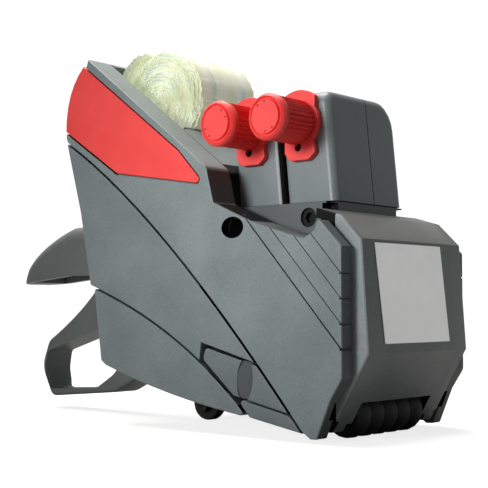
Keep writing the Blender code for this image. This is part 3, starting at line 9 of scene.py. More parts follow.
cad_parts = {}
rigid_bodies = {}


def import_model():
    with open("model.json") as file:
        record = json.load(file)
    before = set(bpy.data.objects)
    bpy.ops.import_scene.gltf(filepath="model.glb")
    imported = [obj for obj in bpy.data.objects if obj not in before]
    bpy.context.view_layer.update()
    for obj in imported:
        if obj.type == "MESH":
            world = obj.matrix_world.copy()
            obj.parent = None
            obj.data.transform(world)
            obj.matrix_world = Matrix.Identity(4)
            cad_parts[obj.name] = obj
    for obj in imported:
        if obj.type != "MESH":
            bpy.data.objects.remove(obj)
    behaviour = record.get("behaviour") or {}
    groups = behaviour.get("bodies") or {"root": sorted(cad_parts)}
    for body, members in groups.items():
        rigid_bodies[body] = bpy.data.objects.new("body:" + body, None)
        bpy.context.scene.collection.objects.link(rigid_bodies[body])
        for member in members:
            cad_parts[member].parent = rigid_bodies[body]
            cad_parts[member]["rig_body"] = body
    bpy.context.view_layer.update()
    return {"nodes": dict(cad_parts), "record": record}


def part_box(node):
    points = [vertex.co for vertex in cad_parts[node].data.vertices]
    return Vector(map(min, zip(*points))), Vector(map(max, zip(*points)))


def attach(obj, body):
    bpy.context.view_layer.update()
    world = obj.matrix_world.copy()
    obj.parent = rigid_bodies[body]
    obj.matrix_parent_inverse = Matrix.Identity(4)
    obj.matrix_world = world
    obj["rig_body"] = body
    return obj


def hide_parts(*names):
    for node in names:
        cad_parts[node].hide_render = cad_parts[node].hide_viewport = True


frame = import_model()
nodes = frame["nodes"]
slotOf = {row["node"]: row["material_slot"] for row in frame["record"]["subparts"]}
print("frame loaded,", len(nodes), "nodes")


# camera at the photograph's place, image 488 x 488
cameraSetup = {"spot": (0.2869, -0.3072, 0.0411), "yaw": 41.0, "pitch": 3.1, "lens": 84.44}

camData = bpy.data.cameras.new("photoCamera")
camData.lens = cameraSetup["lens"]
camData.sensor_width = 36.0
camData.clip_start = 0.01
camera = bpy.data.objects.new("photoCamera", camData)
camera.location = cameraSetup["spot"]
camera.rotation_euler = (math.radians(90 + cameraSetup["pitch"]), 0, math.radians(cameraSetup["yaw"]))
bpy.context.scene.collection.objects.link(camera)
bpy.context.scene.camera = camera
bpy.context.scene.view_settings.view_transform = "Standard"
print("camera set")


# shader maths: a socket with operators, and a tree that makes nodes
class Wire:
    def __init__(self, look, socket):
        self.look = look
        self.socket = socket

    def maths(self, operation, first, second):
        return self.look.add("ShaderNodeMath", {"operation": operation}, {0: first, 1: second})

    def __add__(self, other):
        return self.maths("ADD", self, other)

    def __radd__(self, other):
        return self.maths("ADD", other, self)

    def __sub__(self, other):
        return self.maths("SUBTRACT", self, other)

    def __rsub__(self, other):
        return self.maths("SUBTRACT", other, self)

    def __mul__(self, other):
        return self.maths("MULTIPLY", self, other)

    def __rmul__(self, other):
        return self.maths("MULTIPLY", other, self)


class Look:
    def __init__(self, name, tree=None):
        if tree is None:
            self.material = bpy.data.materials.new(name)
            self.material.use_nodes = True
            tree = self.material.node_tree
        self.tree = tree
        self.tree.nodes.clear()

    def add(self, kind, settings=None, sockets=None, output=0):
        node = self.tree.nodes.new(kind)
        for key, value in (settings or {}).items():
            setattr(node, key, value)
        for key, value in (sockets or {}).items():
            if isinstance(value, Wire):
                self.tree.links.new(value.socket, node.inputs[key])
            else:
                node.inputs[key].default_value = value
        return Wire(self, node.outputs[output]) if node.outputs else node

    def place(self, scale=(1, 1, 1)):
        spot = self.add("ShaderNodeTexCoord", output="Object")
        return self.add("ShaderNodeMapping", {}, {"Vector": spot, "Scale": scale})

    def noise(self, size, detail, where=None):
        where = where or self.place()
        return self.add("ShaderNodeTexNoise", {}, {"Vector": where, "Scale": 1 / size, "Detail": detail})

    def blend(self, share, first, second):
        return self.add("ShaderNodeMix", {"data_type": "RGBA"}, {0: share, 6: first, 7: second}, output=2)

    def ramp(self, value, low, high):
        limits = {"Value": value, "From Min": low, "From Max": high}
        return self.add("ShaderNodeMapRange", {"clamp": True}, limits)

    def bump(self, height, strength, distance):
        return self.add("ShaderNodeBump", {}, {"Height": height, "Strength": strength, "Distance": distance})

    def surface(self, **sockets):
        named = {key.replace("_", " "): value for key, value in sockets.items()}
        shader = self.add("ShaderNodeBsdfPrincipled", {}, named)
        self.add("ShaderNodeOutputMaterial", {}, {"Surface": shader})
        return self.material


def rgb(red, green, blue):
    return (red, green, blue, 1)


# moulded grey plastic with a fine sandy grain
greyShell = {"colour": (0.142, 0.180, 0.181), "pale": (0.214, 0.259, 0.259), "rough": 0.52,
             "grain": 0.00042, "mottle": 0.014, "depth": 0.00006}
# painted shade: a darker, browner copy of the grey, put on the cover's upward faces
shadedSlopeShell = {"colour": (0.104, 0.112, 0.110), "pale": (0.156, 0.165, 0.162), "rough": 0.50,
              "grain": 0.00040, "mottle": 0.012, "depth": 0.00005}
# painted shade: a darker copy of the shell grey for the rear and lower shells, which get less light
lowerShadedShell = {"colour": (0.126, 0.160, 0.161), "pale": (0.190, 0.230, 0.230), "rough": 0.52,
              "grain": 0.00042, "mottle": 0.014, "depth": 0.00006}
coverShell = {"colour": (0.124, 0.142, 0.143), "pale": (0.188, 0.208, 0.209), "rough": 0.50,
              "grain": 0.00040, "mottle": 0.012, "depth": 0.00005}
headShell = {"colour": (0.146, 0.177, 0.179), "pale": (0.196, 0.230, 0.232), "rough": 0.42,
             "grain": 0.00036, "mottle": 0.016, "depth": 0.00003}
# painted shade: a darker copy of the shell grey for the latch pads and bottom plate
latchShadedShell = {"colour": (0.110, 0.138, 0.139), "pale": (0.162, 0.194, 0.195), "rough": 0.52,
              "grain": 0.00042, "mottle": 0.014, "depth": 0.00006}
gripShell = {"colour": (0.100, 0.118, 0.116), "pale": (0.135, 0.154, 0.152), "rough": 0.48,
             "grain": 0.00040, "mottle": 0.012, "depth": 0.00005}
# painted shade: a much darker copy of the grey for the head bed and screw collars, which stand in shade
bedShadedShell = {"colour": (0.066, 0.079, 0.081), "pale": (0.090, 0.104, 0.107), "rough": 0.50,
            "grain": 0.00040, "mottle": 0.012, "depth": 0.00005}
# painted shade: a very dark copy of the grey for the thumb recesses, rib ends and the step behind the heads
paintedShadeShell = {"colour": (0.056, 0.068, 0.069), "pale": (0.070, 0.083, 0.084), "rough": 0.55,
              "grain": 0.00042, "mottle": 0.014, "depth": 0.00005}
# painted light: a paler copy of the grey for the cover's lit side cheeks
litCheekShell = {"colour": (0.225, 0.265, 0.266), "pale": (0.315, 0.355, 0.356), "rough": 0.50,
              "grain": 0.00040, "mottle": 0.012, "depth": 0.00005}
screwShell = {"colour": (0.004, 0.004, 0.004), "pale": (0.007, 0.007, 0.007), "rough": 0.30,
              "grain": 0.00050, "mottle": 0.010, "depth": 0.00004, "sheen": 0.20}
# painted shadow: near black for narrow gaps, holes, recesses and parts sunk in the dark
shadowBlackShell = {"colour": (0.004, 0.0045, 0.0045), "pale": (0.007, 0.0075, 0.0075), "rough": 0.60,
            "grain": 0.00050, "mottle": 0.010, "depth": 0.00004, "sheen": 0.08}
innerShell = {"colour": (0.040, 0.043, 0.045), "pale": (0.060, 0.064, 0.066), "rough": 0.55,
              "grain": 0.00050, "mottle": 0.010, "depth": 0.00005}


def sandyPlastic(name, s):
    look = Look(name)
    grain = look.noise(s["grain"], 2.0)
    mottle = look.noise(s["mottle"], 3.0)
    share = look.ramp(grain * 0.55 + mottle * 0.45, 0.36, 0.64)
    return look.surface(
        Base_Color=look.blend(share, rgb(*s["colour"]), rgb(*s["pale"])),
        Roughness=s["rough"] + (mottle - 0.5) * 0.18 + (grain - 0.5) * 0.16,
        Specular_IOR_Level=s.get("sheen", 0.5),
        Normal=look.bump(grain, 0.55, s["depth"]))


# smooth bright red plastic
redPlastic = {"colour": (0.90, 0.056, 0.050), "deep": (0.84, 0.046, 0.041), "rough": 0.48,
              "grain": 0.0006, "mottle": 0.012}
pipRed = {"colour": (0.26, 0.010, 0.012), "deep": (0.20, 0.008, 0.010), "rough": 0.50,
          "grain": 0.0006, "mottle": 0.012}


def redGloss(name, s):
    look = Look(name)
    grain = look.noise(s["grain"], 2.0)
    mottle = look.noise(s["mottle"], 2.0)
    return look.surface(
        Base_Color=look.blend(look.ramp(mottle, 0.35, 0.65), rgb(*s["deep"]), rgb(*s["colour"])),
        Roughness=s["rough"] + (grain - 0.5) * 0.14,
        Normal=look.bump(grain, 0.25, 0.00003))


# black rubber with a dusty bloom
rubberFinish = {"colour": (0.005, 0.005, 0.005), "dust": (0.014, 0.0135, 0.013), "rough": 0.70,
                "grain": 0.0007, "bloom": 0.006}


def blackRubber(name, s):
    look = Look(name)
    grain = look.noise(s["grain"], 3.0)
    bloom = look.noise(s["bloom"], 3.0)
    return look.surface(
        Base_Color=look.blend(look.ramp(bloom * grain, 0.22, 0.42), rgb(*s["colour"]), rgb(*s["dust"])),
        Roughness=s["rough"] + (grain - 0.5) * 0.3,
        Specular_IOR_Level=0.3,
        Normal=look.bump(grain, 0.4, 0.00006))


# drawn steel, its scratches along the gun's width
steelFinish = {"colour": (0.52, 0.52, 0.53), "worn": (0.36, 0.36, 0.37), "rough": 0.30,
               "line": 0.0003, "stain": 0.008}


def drawnSteel(name, s):
    look = Look(name)
    lines = look.noise(s["line"], 2.0, look.place((1, 0.06, 1)))
    stain = look.noise(s["stain"], 3.0)
    return look.surface(
        Base_Color=look.blend(look.ramp(stain, 0.40, 0.70), rgb(*s["colour"]), rgb(*s["worn"])),
        Metallic=1.0,
        Roughness=s["rough"] + (lines - 0.5) * 0.24,
        Normal=look.bump(lines, 0.2, 0.00003))


# plain silver foil
foilFinish = {"colour": (0.84, 0.85, 0.845), "pale": (0.90, 0.905, 0.90), "rough": 0.36,
              "line": 0.00028, "haze": 0.011}


def silverFoil(name, s):
    look = Look(name)
    lines = look.noise(s["line"], 2.0, look.place((1, 1, 0.05)))
    haze = look.noise(s["haze"], 2.0)
    share = look.ramp(lines * 0.5 + haze * 0.5, 0.35, 0.65)
    return look.surface(
        Base_Color=look.blend(share, rgb(*s["colour"]), rgb(*s["pale"])),
        Metallic=0.7,
        Roughness=s["rough"] + (lines - 0.5) * 0.2,
        Normal=look.bump(lines, 0.12, 0.00002))


# label paper: cream fronts, greenish liner, faint blue print on the outside; painted light: the paper also
# glows a little, so the roll reads pale all over
paperFinish = {"colour": (0.83, 0.86, 0.74), "liner": (0.73, 0.78, 0.54), "print": (0.46, 0.62, 0.66),
               "rough": 0.72, "glow": 0.25, "fibre": 0.0005, "tint": 3.1, "mark": 2.1}


def labelPaper(name, s):
    look = Look(name)
    fibre = look.noise(s["fibre"], 3.0)
    strip = look.add("ShaderNodeUVMap", {"uv_map": "strip"})
    tint = look.add("ShaderNodeTexNoise", {}, {"Vector": strip, "Scale": s["tint"], "Detail": 2.0})
    mark = look.add("ShaderNodeTexNoise", {}, {"Vector": strip, "Scale": s["mark"], "Detail": 1.0})
    cream = look.blend(look.ramp(tint, 0.40, 0.66), rgb(*s["colour"]), rgb(*s["liner"]))
    stamped = look.blend(look.ramp(mark, 0.60, 0.68) * 0.55, cream, rgb(*s["print"]))
    return look.surface(
        Base_Color=stamped,
        # painted light: the paper emits its own colour
        Emission_Color=stamped,
        Emission_Strength=s["glow"],
        Roughness=s["rough"] + (fibre - 0.5) * 0.2,
        Normal=look.bump(fibre, 0.3, 0.00005))


# brown card of the roll's core
cardFinish = {"colour": (0.42, 0.33, 0.22), "dark": (0.30, 0.22, 0.14), "rough": 0.85, "layer": 0.0007}


def brownCard(name, s):
    look = Look(name)
    layers = look.noise(s["layer"], 3.0, look.place((1, 0.25, 1)))
    return look.surface(
        Base_Color=look.blend(look.ramp(layers, 0.35, 0.65), rgb(*s["dark"]), rgb(*s["colour"])),
        Roughness=s["rough"] + (layers - 0.5) * 0.1,
        Normal=look.bump(layers, 0.4, 0.0001))


looks = {
    "shell": sandyPlastic("shellGrey", greyShell),
    "slope": sandyPlastic("slopeGrey", shadedSlopeShell),
    "lower": sandyPlastic("lowerGrey", lowerShadedShell),
    "cover": sandyPlastic("coverGrey", coverShell),
    "head": sandyPlastic("headGrey", headShell),
    "latch": sandyPlastic("latchGrey", latchShadedShell),
    "grip": sandyPlastic("gripGrey", gripShell),
    "inner": sandyPlastic("innerGrey", innerShell),
    "bed": sandyPlastic("bedGrey", bedShadedShell),
    "thumb": sandyPlastic("thumbGrey", paintedShadeShell),
    "cheek": sandyPlastic("cheekGrey", litCheekShell),
    "screw": sandyPlastic("screwBlack", screwShell),
    "gap": sandyPlastic("gapBlack", shadowBlackShell),
    "red": redGloss("knobRed", redPlastic),
    "pip": redGloss("pipRed", pipRed),
    "rubber": blackRubber("rollerRubber", rubberFinish),
    "steel": drawnSteel("drawnSteel", steelFinish),
    "foil": silverFoil("plateFoil", foilFinish),
    "paper": labelPaper("labelPaper", paperFinish),
    "card": brownCard("coreCard", cardFinish),
}
print("materials made,", len(looks))


# each CAD node gets a welded, smooth shaded copy that stands for it
skinSetup = {"weld": 1e-6, "flat": 0.4, "smooth": 34.0, "fluted": 11.0, "hideCore": 0.0110,
             "coreEnd": 0.001, "cheek": 0.0255, "notch": 0.0812}
finishOf = {
    "grey_plastic": "shell", "dark_grey_plastic": "inner", "red_plastic": "red", "black_rubber": "rubber",
    "bright_steel": "steel", "label_paper": "paper", "roll_core": "card",
}
finishOfNode = {
    # painted shade: the rear and lower shells take the darker lower grey
    "rear_shell_right": "lower", "rear_shell_left": "lower",
    "lower_shell_right": "lower", "lower_shell_left": "lower",
    # painted shade: the latch pads and bottom plate take the darker latch grey
    "latch_pad_right": "latch", "latch_pad_left": "latch", "bottom_plate": "latch",
    "front_cover": "cover", "grip_handle": "grip", "squeeze_lever": "grip",
    "head_case_front": "head", "head_case_rear": "head", "head_cap_front": "head", "head_cap_rear": "head",
    "bed_screw_right": "screw", "bed_screw_left": "screw", "head_bed": "bed",
    # painted shadow: the roller bracket and axle take the near-black shadow paint
    "roller_bracket": "gap", "roller_axle": "gap", "wheel_axle": "rubber",
    "knob_sleeve_front": "red", "knob_sleeve_rear": "red",
}


def addPiece(name, mesh, look, body):
    piece = bpy.data.objects.new(name, mesh)
    bpy.context.scene.collection.objects.link(piece)
    mesh.materials.clear()
    mesh.materials.append(looks[look])
    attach(piece, body)
    return piece


def meshFrom(shape, name, sharp=None):
    mesh = bpy.data.meshes.new(name)
    shape.to_mesh(mesh)
    shape.free()
    if sharp:                                               # smooth, but for edges over this angle
        mesh.shade_smooth()
        mesh.set_sharp_from_angle(angle=math.radians(sharp))
    return mesh


def thicken(shape, thick):
    bmesh.ops.solidify(shape, geom=shape.verts[:] + shape.edges[:] + shape.faces[:], thickness=thick)
    bmesh.ops.recalc_face_normals(shape, faces=shape.faces)


def skinNode(name, s):
    mesh = nodes[name].data.copy()
    shape = bmesh.new()
    shape.from_mesh(mesh)
    bmesh.ops.remove_doubles(shape, verts=shape.verts, dist=s["weld"])
    bmesh.ops.dissolve_limit(shape, angle_limit=math.radians(s["flat"]), verts=shape.verts, edges=shape.edges)
    if name == "roll_core":                                 # its near end is under the curled strip
        near = min(vert.co.y for vert in shape.verts)
        ends = [vert for vert in shape.verts if vert.co.y < near + s["coreEnd"]]
        bmesh.ops.translate(shape, vec=(0, s["hideCore"], 0), verts=ends)
    if name == "front_cover":                               # its cheeks are split at the notch line, so the notch behind it can be painted as shade
        sides = [face for face in shape.faces if abs(face.calc_center_median().y) > s["cheek"]]
        around = {part for face in sides for part in (*face.verts, *face.edges, face)}
        bmesh.ops.bisect_plane(shape, geom=list(around), dist=s["weld"],
                               plane_co=(s["notch"], 0, 0), plane_no=(1, 0, 0))
    shape.to_mesh(mesh)
    shape.free()
    if "custom_normal" in mesh.attributes:                  # the loaded normals don't fit the welded mesh
        mesh.attributes.remove(mesh.attributes["custom_normal"])
    sharp = s["fluted"] if name in ("knob_front", "knob_rear") else s["smooth"]
    mesh.shade_smooth()
    mesh.set_sharp_from_angle(angle=math.radians(sharp))
    look = finishOfNode.get(name, finishOf[slotOf[name]])
    piece = addPiece(name + "_skin", mesh, look, nodes[name]["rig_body"])
    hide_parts(name)
    even = piece.modifiers.new("evenShade", "WEIGHTED_NORMAL")
    even.keep_sharp = True
    return piece


skins = {}
for name in sorted(nodes):
    if name != "label_roll":
        skins[name] = skinNode(name, skinSetup)
print("skins made,", len(skins))


# painted shadow: walls that stand close to another piece, and the insides of holes, slots, recesses, the
# mouth and the cheek notch, are painted near black
gapSetup = {"reach": 0.0017, "headReach": 0.0045, "clear": 0.00003, "flat": 0.5, "headFlat": 0.97,
            "share": 0.6, "down": -0.9, "level": 0.2, "tail": 0.030,
            "pieces": ("upper_shell", "rear_shell", "lower_shell", "latch_pad",
                       "head_case", "head_cap", "rear_wall")}
holeBox = ((0.0402, 0.0100, 0.0622), (0.0504, 0.0349, 0.0700))
slotBox = ((0.0750, 0.0299, 0.0069), (0.0900, 0.0321, 0.0125), 4.0e-5)
screwBox = ((0.0590, 0.0165, 0.0640), (0.0700, 0.0199, 0.0745))
bedNotchBox = ((0.0690, 0.0160, 0.0655), (0.0740, 0.0210, 0.0742))
mouthBox = ((0.0700, 0.0000, 0.0000), (0.0860, 0.0200, 0.0120))
cheekNotchBox = ((0.0730, 0.0272, 0.0000), (0.0812, 0.0290, 0.0720))
darkBoxes = {
    "head_bed": (screwBox, bedNotchBox),
    "upper_shell_right": (holeBox, slotBox),
    "upper_shell_left": (holeBox, slotBox),
    "front_cover": (mouthBox, cheekNotchBox),
}
thumbBox = ((0.0466, 0.0250, 0.0105), (0.0546, 0.0346, 0.0255))
shadeSetup = {"ribs": ((0.0720, 0.0240, 0.0000), (0.0890, 0.0340, 0.0700)),
              "step": ((0.0300, 0.0240, 0.0740), (0.0400, 0.0350, 0.0854)),
              "cheek": ((0.0812, 0.0270, 0.0000), (0.0940, 0.0290, 0.0720)),
              "forward": 0.65, "outward": 0.55, "upward": 0.55}


def paintFaces(name, look, chosen):
    mesh = skins[name].data
    if not chosen:
        return
    mesh.materials.append(looks[look])
    for index in chosen:
        mesh.polygons[index].material_index = len(mesh.materials) - 1


def inBox(face, low, high, largest=1.0):
    spot = (face.center.x, abs(face.center.y), face.center.z)
    return face.area < largest and all(a <= b <= c for a, b, c in zip(low, spot, high))


def facesIn(name, box):
    return [face.index for face in skins[name].data.polygons if inBox(face, *box)]


# painted shade: rib ends and the step behind the heads are painted darker than the side, and the cover's
# upward faces darker; painted light: the cover's cheeks are painted paler than its front
def shadeFaces(s):
    for name in ("upper_shell_right", "upper_shell_left"):
        ahead = [face for face in skins[name].data.polygons if face.normal.x > s["forward"]]
        dark = [face for face in ahead if inBox(face, *s["ribs"]) or inBox(face, *s["step"])]
        paintFaces(name, "thumb", [face.index for face in dark])
    cover = skins["front_cover"].data.polygons
    # painted shade: the cover's faces that point upward take the darker slope grey
    paintFaces("front_cover", "slope", [face.index for face in cover if face.normal.z > s["upward"]])
    outer = [face for face in cover if abs(face.normal.y) > s["outward"]]
    paintFaces("front_cover", "cheek", [face.index for face in outer if inBox(face, *s["cheek"])])


def gapFaces(name, everything, s):
    mesh = skins[name].data
    head = name.startswith("head_")
    reach = s["headReach"] if head else s["reach"]
    flat = s["headFlat"] if head else s["flat"]
    whole = {}
    close = {}
    mesh.calc_loop_triangles()
    for part in mesh.loop_triangles:
        face = mesh.polygons[part.polygon_index]
        whole[face.index] = whole.get(face.index, 0) + part.area
        thin = name.startswith("latch") and face.normal.z < s["down"]
        if name.startswith(("rear_shell", "lower_shell")) and abs(face.normal.z) > s["level"]:
            thin = face.center.x < s["tail"]
        if abs(face.normal.y) > flat or thin:
            continue
        along = Vector((face.normal.x, 0, face.normal.z)).normalized()
        middle = sum((mesh.vertices[index].co for index in part.vertices), Vector()) / 3
        if everything.ray_cast(middle + along * s["clear"], along, reach)[0]:
            close[face.index] = close.get(face.index, 0) + part.area
    return [index for index, area in close.items() if area > s["share"] * whole[index]]


def paintGaps(s):
    corners = []
    faces = []
    for piece in skins.values():
        start = len(corners)
        corners += [vert.co.copy() for vert in piece.data.vertices]
        faces += [[start + index for index in face.vertices] for face in piece.data.polygons]
    everything = BVHTree.FromPolygons(corners, faces)
    for name in skins:
        dark = set(gapFaces(name, everything, s)) if name.startswith(s["pieces"]) else set()
        for box in darkBoxes.get(name, ()):
            dark |= set(facesIn(name, box))
        # painted shadow on gap walls and in the listed boxes
        paintFaces(name, "gap", sorted(dark))
        if name.startswith("latch_pad"):
            # painted shade in the thumb recess of each latch pad
            paintFaces(name, "thumb", facesIn(name, thumbBox))


shadeFaces(shadeSetup)
paintGaps(gapSetup)
print("gaps darkened")


# label roll: one thin strip, many turns, its near edges slipped out in waves
rollSetup = {"inner": 0.0007, "outer": 0.0189, "turns": 56, "steps": 120, "paper": 0.00030, "half": 0.0143,
             "push": 0.0038, "fall": 0.8, "scallop": 0.00026, "label": 0.0034, "bunch": 0.00085,
             "lift": 0.0003, "core": 0.0046, "curl": 0.0070, "print": 2.4, "sharp": 50,
             "slips": ((0.00028, 2.7, 1.1), (0.000168, 7.9, 0.0)),      # size, rate by turns, start
             "waves": ((0.00020, 5, 2.1), (0.00014, 11, 4.3))}          # size, number in a turn, drift


def rollMiddle():
    low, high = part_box("roll_core")                         # the core lies on the roll's spin axis
    return (low + high) / 2 * Vector((1, 0, 1))


def windRoll(s):
    middle = rollMiddle()
    shape = bmesh.new()
    bmesh.ops.create_grid(shape, x_segments=s["turns"] * s["steps"], y_segments=1, size=0.5)
    strip = shape.loops.layers.uv.new("strip")
    for face in shape.faces:
        for loop in face.loops:
            loop[strip].uv = ((loop.vert.co.x + 0.5) * s["turns"] * s["print"], loop.vert.co.y * s["print"])
    for vert in shape.verts:
        share = vert.co.x + 0.5
        near = vert.co.y < 0
        turn = share * s["turns"]
        angle = 2 * math.pi * turn
        radius = s["inner"] + (s["outer"] - s["inner"]) * share
        radius += s["lift"] * share * math.sin(3 * angle + 0.7 * turn) * math.sin(0.37 * turn)
        length = math.pi * turn * (2 * s["inner"] + (s["outer"] - s["inner"]) * share)
        slip = sum(size * math.sin(rate * turn + start) for size, rate, start in s["slips"])
        slip += sum(size * math.sin(number * angle + drift * turn) for size, number, drift in s["waves"])
        slip += s["scallop"] * math.sin(2 * math.pi * length / s["label"])
        slip += s["bunch"] * math.sin(0.35 * turn + 1.2 * math.sin(angle) + 0.6 * math.sin(3 * angle))
        slip -= s["push"] * (1 - share) ** s["fall"]
        edge = -s["half"] if near else s["half"]
        if not near and radius < s["core"]:                 # the curled end only fills the core's mouth
            edge = s["curl"] - s["half"]
        vert.co = middle + Vector((radius * math.cos(angle), edge + slip, radius * math.sin(angle)))
    thicken(shape, s["paper"])
    mesh = meshFrom(shape, "wound_labels", s["sharp"])
    roll = addPiece("wound_labels", mesh, "paper", "roll")
    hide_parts("label_roll")


# outer turns that have sprung open and lie against the bay's rear wall, clear of the turning roll
looseSetup = {"turns": 11, "steps": 90, "first": 111.0, "last": 192.0, "stagger": 5.0, "full": 178.0,
              "radius": 0.01965, "spread": 0.0022, "near": 0.0172, "width": 0.0130, "ragged": 0.0016,
              "scallop": 0.00030, "label": 0.0034, "paper": 0.00016, "print": 2.4, "shift": 0.37, "sharp": 50}


def looseTurns(s):
    middle = rollMiddle()
    shape = bmesh.new()
    strip = shape.loops.layers.uv.new("strip")
    for number in range(s["turns"]):
        made = bmesh.ops.create_grid(shape, x_segments=s["steps"], y_segments=1, size=0.5)["verts"]
        first = s["first"] + s["stagger"] * (number % 3)
        spread = s["spread"] * number / (s["turns"] - 1)
        for loop in {loop for vert in made for loop in vert.link_loops}:
            loop[strip].uv = (loop.vert.co.x + s["shift"] * number, loop.vert.co.y * s["print"])
        for vert in made:
            angle = first + (s["last"] - first) * (vert.co.x + 0.5)
            opened = math.sin(math.pi / 2 * (angle - s["first"]) / (s["full"] - s["first"])) ** 2
            radius = s["radius"] + spread * opened
            turn = math.radians(angle)
            along = 2 * math.pi * radius * turn / s["label"] + number
            edge = s["ragged"] * math.sin(2.3 * number + 1) + s["scallop"] * math.sin(along)
            across = edge - s["near"] if vert.co.y < 0 else s["width"] - s["near"]
            vert.co = middle + Vector((radius * math.cos(turn), across, radius * math.sin(turn)))
    thicken(shape, s["paper"])
    mesh = meshFrom(shape, "loose_turns", s["sharp"])
    addPiece("loose_turns", mesh, "paper", "frame")


windRoll(rollSetup)
looseTurns(looseSetup)
print("label roll wound")


# plain silver plate on the front cover, laid on its curve
plateSetup = {"low": (-0.0215, 0.0298), "high": (0.0149, 0.0602), "lean": 0.0021,
              "stand": 0.00012, "thick": 0.00020, "ahead": 0.2, "sharp": 40}


def coverPlate(s):
    shape = bmesh.new()
    bmesh.ops.create_grid(shape, x_segments=20, y_segments=8, size=0.5)
    tree = BVHTree.FromPolygons([v.co for v in skins["front_cover"].data.vertices],
                                [p.vertices for p in skins["front_cover"].data.polygons])
    for vert in shape.verts:
        across = vert.co.x + 0.5
        up = vert.co.y + 0.5
        y = s["low"][0] + (s["high"][0] - s["low"][0]) * across + s["lean"] * (0.5 - up)
        z = s["low"][1] + (s["high"][1] - s["low"][1]) * up
        hit = tree.ray_cast(Vector((s["ahead"], y, z)), Vector((-1, 0, 0)))[0]
        vert.co = hit + Vector((s["stand"] + s["thick"], 0, 0))
    bmesh.ops.recalc_face_normals(shape, faces=shape.faces)
    thicken(shape, s["thick"])
    addPiece("cover_plate", meshFrom(shape, "cover_plate", s["sharp"]), "foil", "cover")


coverPlate(plateSetup)
print("cover plate laid")


def onSide(spot):
    return Matrix.Translation(spot) @ Matrix.Rotation(math.pi / 2, 4, "X")


# small round pips on the knob ends
pipSetup = {"ring": 0.0047, "radius": 0.00042, "taper": 0.8, "high": 0.00012, "corners": 16,
            "front": (92, 128, 272, 308), "rear": (20, 56, 200, 236)}


def knobPips(label, s):
    low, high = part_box("knob_" + label)
    middle = (low + high) / 2
    shape = bmesh.new()
    for degrees in s[label]:
        turn = math.radians(degrees)
        spot = Vector((middle.x + s["ring"] * math.cos(turn), low.y, middle.z + s["ring"] * math.sin(turn)))
        bmesh.ops.create_cone(shape, cap_ends=True, segments=s["corners"], radius1=s["radius"],
                              radius2=s["radius"] * s["taper"], depth=s["high"], matrix=onSide(spot))
    name = "knob_pips_" + label
    addPiece(name, meshFrom(shape, name), "pip", "selector_" + label)


# painted shade: near black discs set inside the bracket eyes
eyeSetup = {"drop": 0.0080, "radius": 0.00136, "thick": 0.0004, "corners": 24}


def eyeShadeDisc(label, s):
    low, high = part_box("knob_" + label)
    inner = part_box("knob_bracket_" + label)[1].y - s["thick"]
    spot = Vector(((low.x + high.x) / 2, inner, (low.z + high.z) / 2 - s["drop"]))
    shape = bmesh.new()
    bmesh.ops.create_cone(shape, cap_ends=True, segments=s["corners"], radius1=s["radius"],
                          radius2=s["radius"], depth=s["thick"], matrix=onSide(spot))
    name = "bracket_eye_" + label
    addPiece(name, meshFrom(shape, name), "gap", "frame")


# narrow collar around each bed screw, in the bed's painted-shade grey, and the inner edge of the round hole
# in each side
collarSetup = {"at": (0.0644, 0.0692), "outer": 0.00500, "inner": 0.00315, "near": 0.02003,
               "thick": 0.00040, "look": "bed", "corners": 48, "sharp": 40}
edgeSetup = {"at": (0.0453, 0.0661), "outer": 0.00465, "inner": 0.00450, "near": 0.0314,
             "thick": 0.00016, "look": "shell", "corners": 48, "sharp": 40}


def flatRing(name, side, s):
    shape = bmesh.new()
    rims = []
    for radius in (s["outer"], s["inner"]):
        made = bmesh.ops.create_circle(shape, segments=s["corners"], radius=radius)
        rims += {edge for vert in made["verts"] for edge in vert.link_edges}
    bmesh.ops.bridge_loops(shape, edges=rims)
    bmesh.ops.recalc_face_normals(shape, faces=shape.faces)
    thicken(shape, s["thick"])
    middle = sum((vert.co for vert in shape.verts), Vector()) / len(shape.verts)
    bmesh.ops.translate(shape, vec=-middle, verts=shape.verts)
    spot = Vector((s["at"][0], side * (s["near"] - s["thick"] / 2), s["at"][1]))
    bmesh.ops.transform(shape, matrix=onSide(spot), verts=shape.verts)
    bmesh.ops.recalc_face_normals(shape, faces=shape.faces)
    addPiece(name, meshFrom(shape, name, s["sharp"]), s["look"], "frame")


for label, side in (("right", -1), ("left", 1)):
    flatRing("screw_collar_" + label, side, collarSetup)
    flatRing("hole_edge_" + label, side, edgeSetup)
print("collars and hole edges set")


for label in ("front", "rear"):
    knobPips(label, pipSetup)
    eyeShadeDisc(label, eyeSetup)
print("knob pips and eyes set")


# soft studio: one soft lamp on the side, a top light and a white surround
lightSetup = {
    "side": {"kind": "SPOT", "spot": (-0.04, -0.55, 0.18), "aim": (0.043, -0.0355, 0.090), "size": 0.09,
             "power": 14.2, "cone": 24.5},
    "top": {"kind": "AREA", "spot": (-0.15, 0.05, 0.75), "aim": (0.0, 0.0, 0.10), "size": 0.50,
            "power": 8.0, "tint": (1.0, 0.955, 0.915)},
}


def studioLamp(name, s):
    data = bpy.data.lights.new(name, s["kind"])
    if s["kind"] == "SPOT":
        data.shadow_soft_size = s["size"]
        data.spot_size = math.radians(s["cone"])
        data.spot_blend = 1.0
    else:
        data.shape = "SQUARE"
        data.size = s["size"]
    data.energy = s["power"]
    data.color = s.get("tint", (1.0, 1.0, 1.0))
    lamp = bpy.data.objects.new(name, data)
    lamp.location = s["spot"]
    lamp.rotation_euler = (Vector(s["aim"]) - Vector(s["spot"])).to_track_quat("-Z", "Y").to_euler()
    bpy.context.scene.collection.objects.link(lamp)


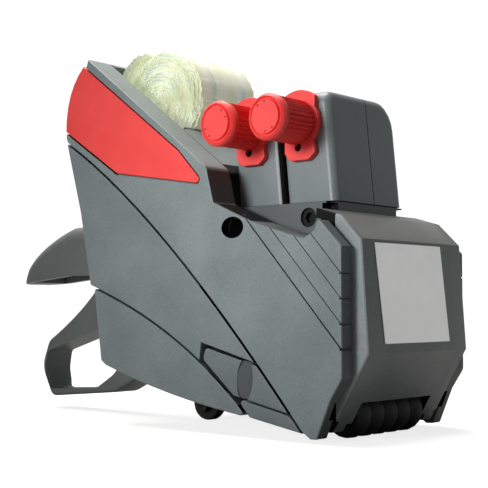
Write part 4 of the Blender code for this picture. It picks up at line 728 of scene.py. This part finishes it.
for name, s in lightSetup.items():
    studioLamp(name + "Light", s)

surroundSetup = {"ambient": 0.05, "shown": 1.0, "mirrored": 0.55}
bpy.context.scene.world = bpy.data.worlds.new("surround")
bpy.context.scene.world.use_nodes = True
sky = Look("surround", bpy.context.scene.world.node_tree)
path = sky.add("ShaderNodeLightPath", output="Is Camera Ray")
gloss = sky.add("ShaderNodeLightPath", output="Is Glossy Ray")
clear = sky.add("ShaderNodeLightPath", output="Is Transmission Ray")
seen = path + clear
strength = surroundSetup["ambient"] + seen * surroundSetup["shown"] + gloss * surroundSetup["mirrored"]
backdrop = sky.add("ShaderNodeBackground", {}, {"Color": rgb(1, 1, 1), "Strength": strength})
sky.add("ShaderNodeOutputWorld", {}, {"Surface": backdrop})

floorSetup = {"half": 1.2, "colour": (0.50, 0.50, 0.50), "glow": 0.80, "near": 0.20, "far": 0.42}


def paleFloor(s):
    look = Look("paleFloor")
    seen = look.add("ShaderNodeLightPath", output="Is Camera Ray")
    paint = look.add("ShaderNodeBsdfDiffuse", {}, {"Color": rgb(*s["colour"])})
    glow = look.add("ShaderNodeEmission", {}, {"Color": rgb(1, 1, 1), "Strength": seen * s["glow"]})
    both = look.add("ShaderNodeAddShader", {}, {0: paint, 1: glow})
    reach = look.add("ShaderNodeVectorMath", {"operation": "LENGTH"}, {0: look.place()}, output="Value")
    air = look.add("ShaderNodeBsdfTransparent")
    below = look.add("ShaderNodeNewGeometry", output="Backfacing")
    clear = look.ramp(reach, s["near"], s["far"]) + below   # far out, and from below
    faded = look.add("ShaderNodeMixShader", {}, {0: clear, 1: both, 2: air})
    look.add("ShaderNodeOutputMaterial", {}, {"Surface": faded})
    shape = bmesh.new()
    bmesh.ops.create_grid(shape, x_segments=1, y_segments=1, size=s["half"])
    mesh = meshFrom(shape, "floor")
    mesh.materials.append(look.material)
    floor = bpy.data.objects.new("floor", mesh)
    bpy.context.scene.collection.objects.link(floor)


paleFloor(floorSetup)
print("studio lit")
